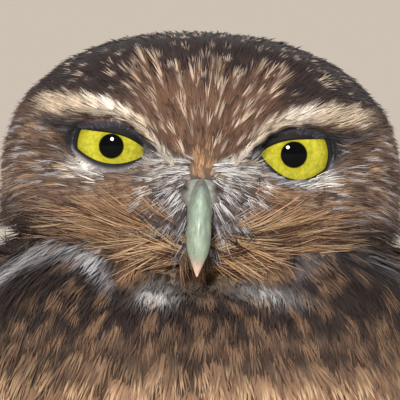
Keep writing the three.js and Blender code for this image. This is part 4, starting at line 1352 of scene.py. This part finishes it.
for side, name in SIDES:
    grids, tints = [], []
    for tier, (_, count, bearings, heights, lengths, wide, rise, drift) in enumerate(TIERS):
        for number in range(count):
            share = number / (count - 1)
            jitter = random.normal(0, 1, 4)
            grid = vane_grid(
                side,
                heights[0] + (heights[1] - heights[0]) * share + 0.4 * jitter[0],
                bearings[0] + (bearings[1] - bearings[0]) * share + 0.4 * jitter[1],
                (lengths[0] + (lengths[1] - lengths[0]) * share) * (1 + 0.02 * jitter[2]),
                wide, rise + 0.08 * number * (tier < 2), drift)
            grids.append(grid)
            bars, swing = (6, 0.5) if tier < 2 else (2.5, 1.1)
            tints.append(vane_tint(grid[1], grid[2], bars, 1.3 + swing * jitter[3], 0.85))
    vanes_piece(f"wing_feathers_{name}", grids, tints, unwrap_trunk, [f"wing_{name}"])

# %% [markdown]
# The short tail is a closed fan: twelve long vanes that step under one another from the middle out,
# with a row of coverts above and a pale one below that hide their roots.

# %% Tail feathers
TAIL_LENGTH, TAIL_FAN, TAIL_WIDTH = 62.0, math.radians(9), 10.5


def tail_grid(fan, length, width, lift, rows=34, columns=9):
    """A flat vane fanned from the tail's root, crowned at its shaft, its end rounded."""
    slope = TAIL_SLOPE - math.pi / 2
    down = np.array([0, -math.sin(slope), -math.sin(TAIL_SLOPE)])
    along = np.array([math.sin(fan), 0, 0]) + down * math.cos(fan)
    across_way = np.array([math.cos(fan), 0, math.sin(fan) * 0.35])
    out = np.cross(across_way, along)
    out = out / np.linalg.norm(out) * np.sign(out[1])
    share = np.linspace(0, 1, rows)[:, None] * np.ones((1, columns))
    across = np.linspace(-1, 1, columns)[None, :] * np.ones((rows, 1))
    sideways = across * width / 2 * vane_outline(share, 0.8, 0.205)
    height = lift + 0.5 * (1 - np.abs(across) ** 1.5) - 1.2 * share**2
    points = TAIL_ROOT + along * (length * share)[..., None]
    points = points + across_way * sideways[..., None] + out * height[..., None]
    return points, share, across


grids, tints = [], []
for number in range(12):
    place = (number - 5.5) / 5.5
    grid = tail_grid(TAIL_FAN * place, TAIL_LENGTH * (1 - 0.05 * place * place), TAIL_WIDTH,
                     1.6 - 5.6 * abs(place) + (0.45 if place > 0 else 0))
    grids.append(grid)
    tints.append(vane_tint(grid[1], -np.abs(grid[2]), 5, 2.0 + 0.2 * random.normal(), 0.95))
for number in range(7):
    place = number / 3 - 1
    grid = tail_grid(1.3 * TAIL_FAN * place, 30 - 3 * abs(place), 9.5, 3.0 - 2.2 * abs(place))
    grids.append(grid)
    tints.append(vane_tint(grid[1], grid[2], 2, 0.4 * random.normal(), 0.6))
for number in range(7):
    place = number / 3 - 1
    grid = tail_grid(1.3 * TAIL_FAN * place, 34 - 3 * abs(place), 9.5, -5.0 + 1.6 * abs(place))
    grids.append(grid)
    tints.append(mix(BELLY, BAR_BROWN, 0.25 * bell(grid[1] - 0.8, 0.05)))
vanes_piece("tail_feathers", grids, tints, unwrap_trunk, ["tail"])

# %% [markdown]
# The eye is a ball with a black pupil and a lemon iris under a clear wet coat. A painted disc would
# lose the round light of the lamp, so the ball stays whole and its shader asks how far a place lies
# from the line of sight.

# %% Eyes
def eye_finish(name, side):
    """The iris is a function of the distance from the line of sight: black pupil with a soft edge,
    yellow with fine darker flecks of noise, and a dark rim."""
    full = 7.5
    wet = {"Coat_Weight": 0.6, "Coat_Roughness": 0.02, "Coat_IOR": 1.33}
    made, nodes, links, shader = material(name, 0.6, 0.0, **wet)
    place = nodes.new("ShaderNodeTexCoord")
    shift = nodes.new("ShaderNodeMapping")
    centre = head_to_bird(about_eye(side, 0.0, 0.0, EYE_RADIUS)) - np.array([0, MIDDLE_Y, 0])
    shift.inputs["Location"].default_value = tuple(-centre * MM)
    links.new(place.outputs["Object"], shift.inputs["Vector"])
    distance = nodes.new("ShaderNodeVectorMath")
    distance.operation = "LENGTH"
    flat = nodes.new("ShaderNodeVectorMath")
    flat.operation = "MULTIPLY"
    flat.inputs[1].default_value = (1000, 180, 1000)
    links.new(shift.outputs["Vector"], flat.inputs[0])
    links.new(flat.outputs["Vector"], distance.inputs[0])
    ramp = nodes.new("ShaderNodeValToRGB")
    scale = nodes.new("ShaderNodeMath")
    scale.operation = "DIVIDE"
    scale.inputs[1].default_value = full
    links.new(distance.outputs["Value"], scale.inputs[0])
    links.new(scale.outputs["Value"], ramp.inputs["Fac"])
    stops = ramp.color_ramp.elements
    pupil = 2.25 if side < 0 else 2.4
    stops[0].position, stops[0].color = pupil / full - 0.01, (0.001, 0.001, 0.001, 1)
    stops[1].position, stops[1].color = pupil / full + 0.015, (*colour(168, 164, 40), 1)
    for position, tone in ((0.5, (190, 186, 58)), (0.8, (176, 170, 44)), (0.865, (50, 44, 12))):
        stops.new(position).color = (*colour(*tone), 1)
    grain = nodes.new("ShaderNodeTexNoise")
    grain.inputs["Scale"].default_value = 1500
    grain.inputs["Detail"].default_value = 4
    links.new(shift.outputs["Vector"], grain.inputs["Vector"])
    fleck = nodes.new("ShaderNodeMapRange")
    fleck.inputs["From Min"].default_value, fleck.inputs["From Max"].default_value = 0.3, 0.7
    fleck.inputs["To Min"].default_value, fleck.inputs["To Max"].default_value = 0.66, 1.10
    links.new(grain.outputs["Fac"], fleck.inputs["Value"])
    times = nodes.new("ShaderNodeVectorMath")
    times.operation = "SCALE"
    links.new(ramp.outputs["Color"], times.inputs[0])
    links.new(fleck.outputs["Result"], times.inputs["Scale"])
    links.new(times.outputs["Vector"], shader.inputs["Base Color"])
    return made


for side, name in SIDES:
    points, quads, triangles = closed_ball(
        lambda spread, angle: about_eye(side, angle, spread, EYE_RADIUS), 72, 48)
    eye = mesh_piece(f"eyeball_{name}", head_to_bird(points), quads, triangles)
    eye.data.materials.append(eye_finish(f"iris {name}", side))
    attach(eye, "root")
    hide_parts(f"eye_{name}")
    print(f"eyeball_{name}: {len(points)} points")

# %% [markdown]
# The lids are one ring on each eyeball. Its lip follows the opening, whose upper edge slants down
# to the bill and gives the owl its frown. A black bare rim runs along the lip, and tiny feathers
# cover the rest.

# %% Lids
LID_PROFILE = np.array([
    # share of the way from lip to root, height over the eyeball
    [0, 0.05], [0, 0.28], [0.02, 0.42], [0.06, 0.52], [0.12, 0.6], [0.2, 0.66], [0.3, 0.62], [0.4, 0.66],
    [0.5, 0.8], [0.65, 0.95], [0.8, 1.0], [0.92, 0.9], [1, 0.6], [1, 0.02], [0.5, 0.02],
])


def lip_spread(side, angle):
    """The angle off the line of sight at which the lip lies."""
    turn = np.remainder(angle + np.pi, 2 * np.pi) - np.pi
    return np.arcsin(np.interp(turn, TURNS, OPENINGS[side]) / EYE_RADIUS)


def lid_places(side, angle, share, height):
    """A place on the lids: the spread runs from the lip's own angle to the reach of the ring."""
    lip = lip_spread(side, angle)
    return about_eye(side, angle, lip + (LID_REACH - lip) * share, EYE_RADIUS + height)


lid_finish = tinted_material("lid skin", 0.7, 0.25, (1500, 1500, 1500), 0.9)

for side, name in SIDES:
    around = 144
    angle = 2 * np.pi * np.arange(around)[:, None] / around * np.ones((1, len(LID_PROFILE)))
    lip = lip_spread(side, angle[:, :1])
    spread = lip + (LID_REACH - lip) * LID_PROFILE[None, :, 0]
    height = LID_PROFILE[None, :, 1] * np.ones_like(angle)
    rings = head_to_bird(about_eye(side, angle, spread, EYE_RADIUS + height))
    quads = ring_faces(around + 1, len(LID_PROFILE)) % (around * len(LID_PROFILE))
    points, quads, _ = turned_out(rings.reshape(-1, 3), quads, np.zeros((0, 3), int))
    lids = mesh_piece(f"lids_{name}", points, quads)
    share = LID_PROFILE[None, :, 0] * np.ones_like(angle)
    low = 1 - soft(-0.5, 0.1, np.sin(angle))
    tint = mix(colour(14, 12, 14), LID_GREY * 0.6, soft(0.12, 0.3, share))
    tint = mix(tint, PALE_GREY * 0.7, low * bell(share - 0.2, 0.08) * 0.7)
    paint_piece(lids, tint)
    lids.data.materials.append(lid_finish)
    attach(lids, "root")
    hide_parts(f"eyelids_{name}")


def lid_height(share):
    """The outer face of the lids over the eyeball."""
    return np.interp(share, LID_PROFILE[1:13, 0], LID_PROFILE[1:13, 1])


def lid_coat(side, name):
    """Tiny feathers strewn over the ring from just past the bare rim to its root, lying outward.
    They ask the head's own markings for their colour."""
    count = 3800
    angle = 2 * np.pi * (np.arange(count) + random.random(count)) / count
    share = 0.06 + 0.92 * np.remainder(0.618034 * np.arange(count) + 0.05 * random.random(count), 1.0)
    upper = soft(-0.1, 0.35, np.sin(angle))
    spots = lid_places(side, angle, share, lid_height(share))
    normals = unit(spots - EYE * np.array([side, 1, 1]))
    away = unit(lid_places(side, angle, share + 0.08, lid_height(share)) - spots)
    temple = (0.4 + 0.5 * upper) * soft(-0.5, 0.3, np.cos(angle))
    aim = away + temple[:, None] * np.array([side * 1.0, 0.2, 0.1])
    length = 0.9 + 0.7 * random.random(count) + 1.0 * soft(0.45, 1, share)
    light = np.exp(random.normal(0, 0.35, count)) * (1 + 0.5 * (random.random(count) < 0.14))

    def paint(way, across, index, at):
        """The head's markings times the feather's own light, darker at the root."""
        tint = head_ground(bird_to_head(at)) * light[index][..., None]
        return mix(tint, tint * 0.4, 1 - soft(0.0, 0.5, way))

    feathers(f"lid_feathers_{name}", head_to_bird(spots), head_vectors_to_bird(normals),
             head_vectors_to_bird(aim), length, np.full(count, 0.55), paint, tilt=0.16, bend=0.12, barbs=4,
             steps=3, sink=0.12, fullness=1.3, unwrap=unwrap_head)


for side, name in SIDES:
    lid_coat(side, name)

# %% [markdown]
# A soft grey swelling, the cere, lies like a saddle across the base of the bill and carries the
# nostrils. It is one flat ellipsoid, mottled, with the lore bristles over its edges, since two balls
# beside the bill would look like ears.

# %% Cere
CERE_HALVES = np.array([3.9, 2.3, 3.0])
CERE_MIDDLE = np.array([0, -25.3, -2.1])

cere_points, quads, triangles = closed_ball(
    lambda sweep, turn: ball_way(sweep, turn) * CERE_HALVES + CERE_MIDDLE, 56, 40)
cere = mesh_piece("cere", head_to_bird(cere_points), quads, triangles)
# The nostrils are not cut: each is a dark brown spot, painted shade of the opening.
nostril_shade = bell(np.hypot(np.abs(cere_points[:, 0]) - 2.9, cere_points[:, 2] + 0.9), 0.7)
cere_tint = mix(colour(134, 138, 130), LORE_GREY, soft(1.6, 3.4, np.abs(cere_points[:, 0])))
cere_tint = cere_tint * (0.75 + 0.4 * mottle(cere_points, 0.35, 2.0))[:, None]
paint_piece(cere, mix(cere_tint, colour(46, 28, 18), nostril_shade))
cere.data.materials.append(lid_finish)
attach(cere, "root")
print("cere:", len(cere_points), "points")

# %% [markdown]
# The bill is a short hooked blade of horn. Its ridge and its cutting edge are two curves, and a
# section between them is a rounded wedge, narrow at the ridge. One carved block would look the same,
# but two curves let the hook's drop and the width be read straight from the table.

# %% Bill
BILL = np.array([
    # station, ridge forward, ridge up, edge forward, edge up, half width
    [0, 23, 0.9, 20, -8.5, 2.4], [1, 29, 0.6, 24.5, -9.6, 2.2], [2, 33, -1.5, 28, -10.4, 2.05],
    [3, 35.6, -5.4, 30.4, -11.4, 2.15], [4, 36.2, -10, 32.2, -13, 1.85],
    [5, 34.9, -14.6, 33.9, -15.4, 0.65], [5.4, 34.45, -16.3, 34.25, -16.45, 0.12],
])
LOWER_BILL = np.array([
    [0, 18, -8.8, 17, -12.6, 2.3], [1, 26, -9.9, 25, -13.4, 1.8], [2, 30.4, -11.6, 29.6, -13.8, 1.1],
    [2.4, 31.6, -12.9, 31.3, -13.7, 0.3],
])


def blade(table, rows, around, wedge):
    """Between the ridge and the edge a point goes down by the rise of a cosine, and out by a sine
    that is narrower near the ridge."""
    station = np.linspace(table[0, 0], table[-1, 0], rows)[:, None]
    columns = (follow(table, column, station) for column in range(1, 6))
    top_forward, top_up, edge_forward, edge_up, half = columns
    turn = 2 * np.pi * np.arange(around)[None, :] / around
    down = (1 - np.cos(turn)) / 2
    wide = half * np.sin(turn) * (1 - wedge * np.cos(turn))
    forward = top_forward + (edge_forward - top_forward) * down
    up = top_up + (edge_up - top_up) * down
    return np.stack([wide, -forward, up], axis=-1)


horn = tinted_material("horn", 0.42, 0.4, (1400, 900, 350), 1.1, Coat_Weight=0.18, Coat_Roughness=0.25)
SAGE = colour(146, 162, 145)
HORN_TIP = colour(206, 170, 156)
for table, name, node, wedge, base in (
        (BILL, "bill_blade", "bill_upper", 0.22, 0.75),
        (LOWER_BILL, "bill_under", "bill_lower", 0.05, 0.0)):
    points, quads, triangles = closed_rings(blade(table, 110, 64, wedge))
    z = points[:, 2]
    tint = mix(SAGE, HORN_TIP, 1 - soft(-15.8, -12.0, z))
    tint = mix(tint, LORE_GREY, base * soft(-2.5, 0.5, z))
    tint = tint * (0.80 + 0.3 * mottle(points * np.array([1.0, 1.0, 0.35]), 0.45, 1.0))[:, None]
    # Small paler flecks: painted highlights on the horn.
    tint = mix(tint, tint * 1.35, soft(0.8, 0.95, mottle(points, 0.16, 5.0)))
    piece = mesh_piece(name, head_to_bird(points), quads, triangles)
    paint_piece(piece, tint)
    piece.data.materials.append(horn)
    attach(piece, "root")
    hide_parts(node)
    print(f"{name}: {len(points)} points, lowest {z.min():.1f} mm")

# %% [markdown]
# The toes are scaled: a row of broad plates runs along the top of each. A toe is a tube whose
# radius swells a little under each plate. The claws are curved cones of dark horn.

# %% Feet and claws
TOES = [
    # name, bearing from ahead, length, radius, claw
    ("inner", -14, 16, 2.7, 8), ("middle", 12, 19, 2.8, 8), ("outer", 74, 15, 2.6, 7),
    ("hind", 168, 9, 2.6, 7),
]
ANKLE = np.array([
    # height, x, y, half width, half depth
    [0.2, 0, 0, 3.4, 3.6], [3, 0, 0, 4.4, 4.6], [6, 0, 0, 4.4, 4.6], [9, 0, 0, 3.9, 4.1],
    [12, 0, 0.3, 3.0, 3.2],
])


def toe_rings(side, bearing, stations, rows, around, plates=0):
    """A tube in the upright plane of one toe. Stations give distance out, height and radius. On
    its upper half the radius swells once for each plate."""
    ahead = math.radians(bearing)
    share = np.linspace(0, 1, rows)
    knots = np.column_stack([np.linspace(0, 1, len(stations)), stations])
    distance, height, radius = (follow(knots, column, share)[:, None] for column in (1, 2, 3))
    slope = np.arctan2(np.gradient(height[:, 0]), np.gradient(distance[:, 0]))[:, None]
    angle = 2 * np.pi * (np.arange(around)[None, :] + 0.5) / around
    ripple = np.abs(np.sin(share[:, None] * plates * np.pi))
    swell = 1 + 0.09 * ripple * soft(-0.1, 0.5, np.sin(angle))
    wide, tall = radius * swell * np.cos(angle), radius * swell * np.sin(angle)
    flat = distance - tall * np.sin(slope)
    z = height + tall * np.cos(slope)
    out_x, out_y = side * math.sin(ahead), -math.cos(ahead)
    x = side * LEG_X + out_x * flat + side * math.cos(ahead) * wide
    y = LEG_Y + out_y * flat + math.sin(ahead) * wide
    return np.stack([x, y, np.maximum(z, 0.02)], axis=-1)


toe_skin, nodes, links, shader, cells = grained_material(
    "toe skin", "ShaderNodeTexVoronoi", 1300, (150, 142, 124), (96, 88, 76), 0.55, 0.35)
lumps = nodes.new("ShaderNodeBump")
lumps.inputs["Strength"].default_value = 0.5
lumps.inputs["Distance"].default_value = 0.0002
links.new(cells, lumps.inputs["Height"])
links.new(lumps.outputs["Normal"], shader.inputs["Normal"])
claw_horn, *rest = grained_material(
    "claw horn", "ShaderNodeTexNoise", 260, (28, 24, 22), (74, 64, 56), 0.25, 0.5, Coat_Weight=0.3,
    Coat_Roughness=0.15)

for side, name in SIDES:
    surfaces, talons = [leg_surface(side, ANKLE, rows=20)], []
    for toe, bearing, long, radius, claw in TOES:
        stations = [
            (-1, 5.2, radius * 1.2), (long * 0.28, 3.2, radius * 1.02), (long * 0.62, 2.35, radius * 0.94),
            (long * 0.92, 2.15, radius * 0.88), (long + 0.9, 2.3, radius * 0.4)]
        rings = toe_rings(side, bearing, stations, 60, 24, plates=int(long / 1.3))
        surfaces.append(closed_rings(rings))
        base = long - 0.9
        line = [
            (base, 2.5, 1.2), (base + claw * 0.35, 3.1, 1.0), (base + claw * 0.7, 2.4, 0.62),
            (base + claw, 0.6, 0.08)]
        talons.append(closed_rings(toe_rings(side, bearing, line, 24, 16)))
    foot = mesh_piece(f"toes_{name}", *joined(surfaces))
    foot.data.materials.append(toe_skin)
    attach(foot, "root")
    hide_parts(f"foot_{name}")
    claws = mesh_piece(f"talons_{name}", *joined(talons))
    claws.data.materials.append(claw_horn)
    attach(claws, "root")
    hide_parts(*[f"claw_{name}_{toe}" for toe, *rest in TOES])
    print(f"foot {name}: {len(foot.data.polygons)} faces, {len(talons)} claws")

# %% [markdown]

# %% [markdown]
# Last, the view layer is brought up to date.

# %% Finish
bpy.context.view_layer.update()
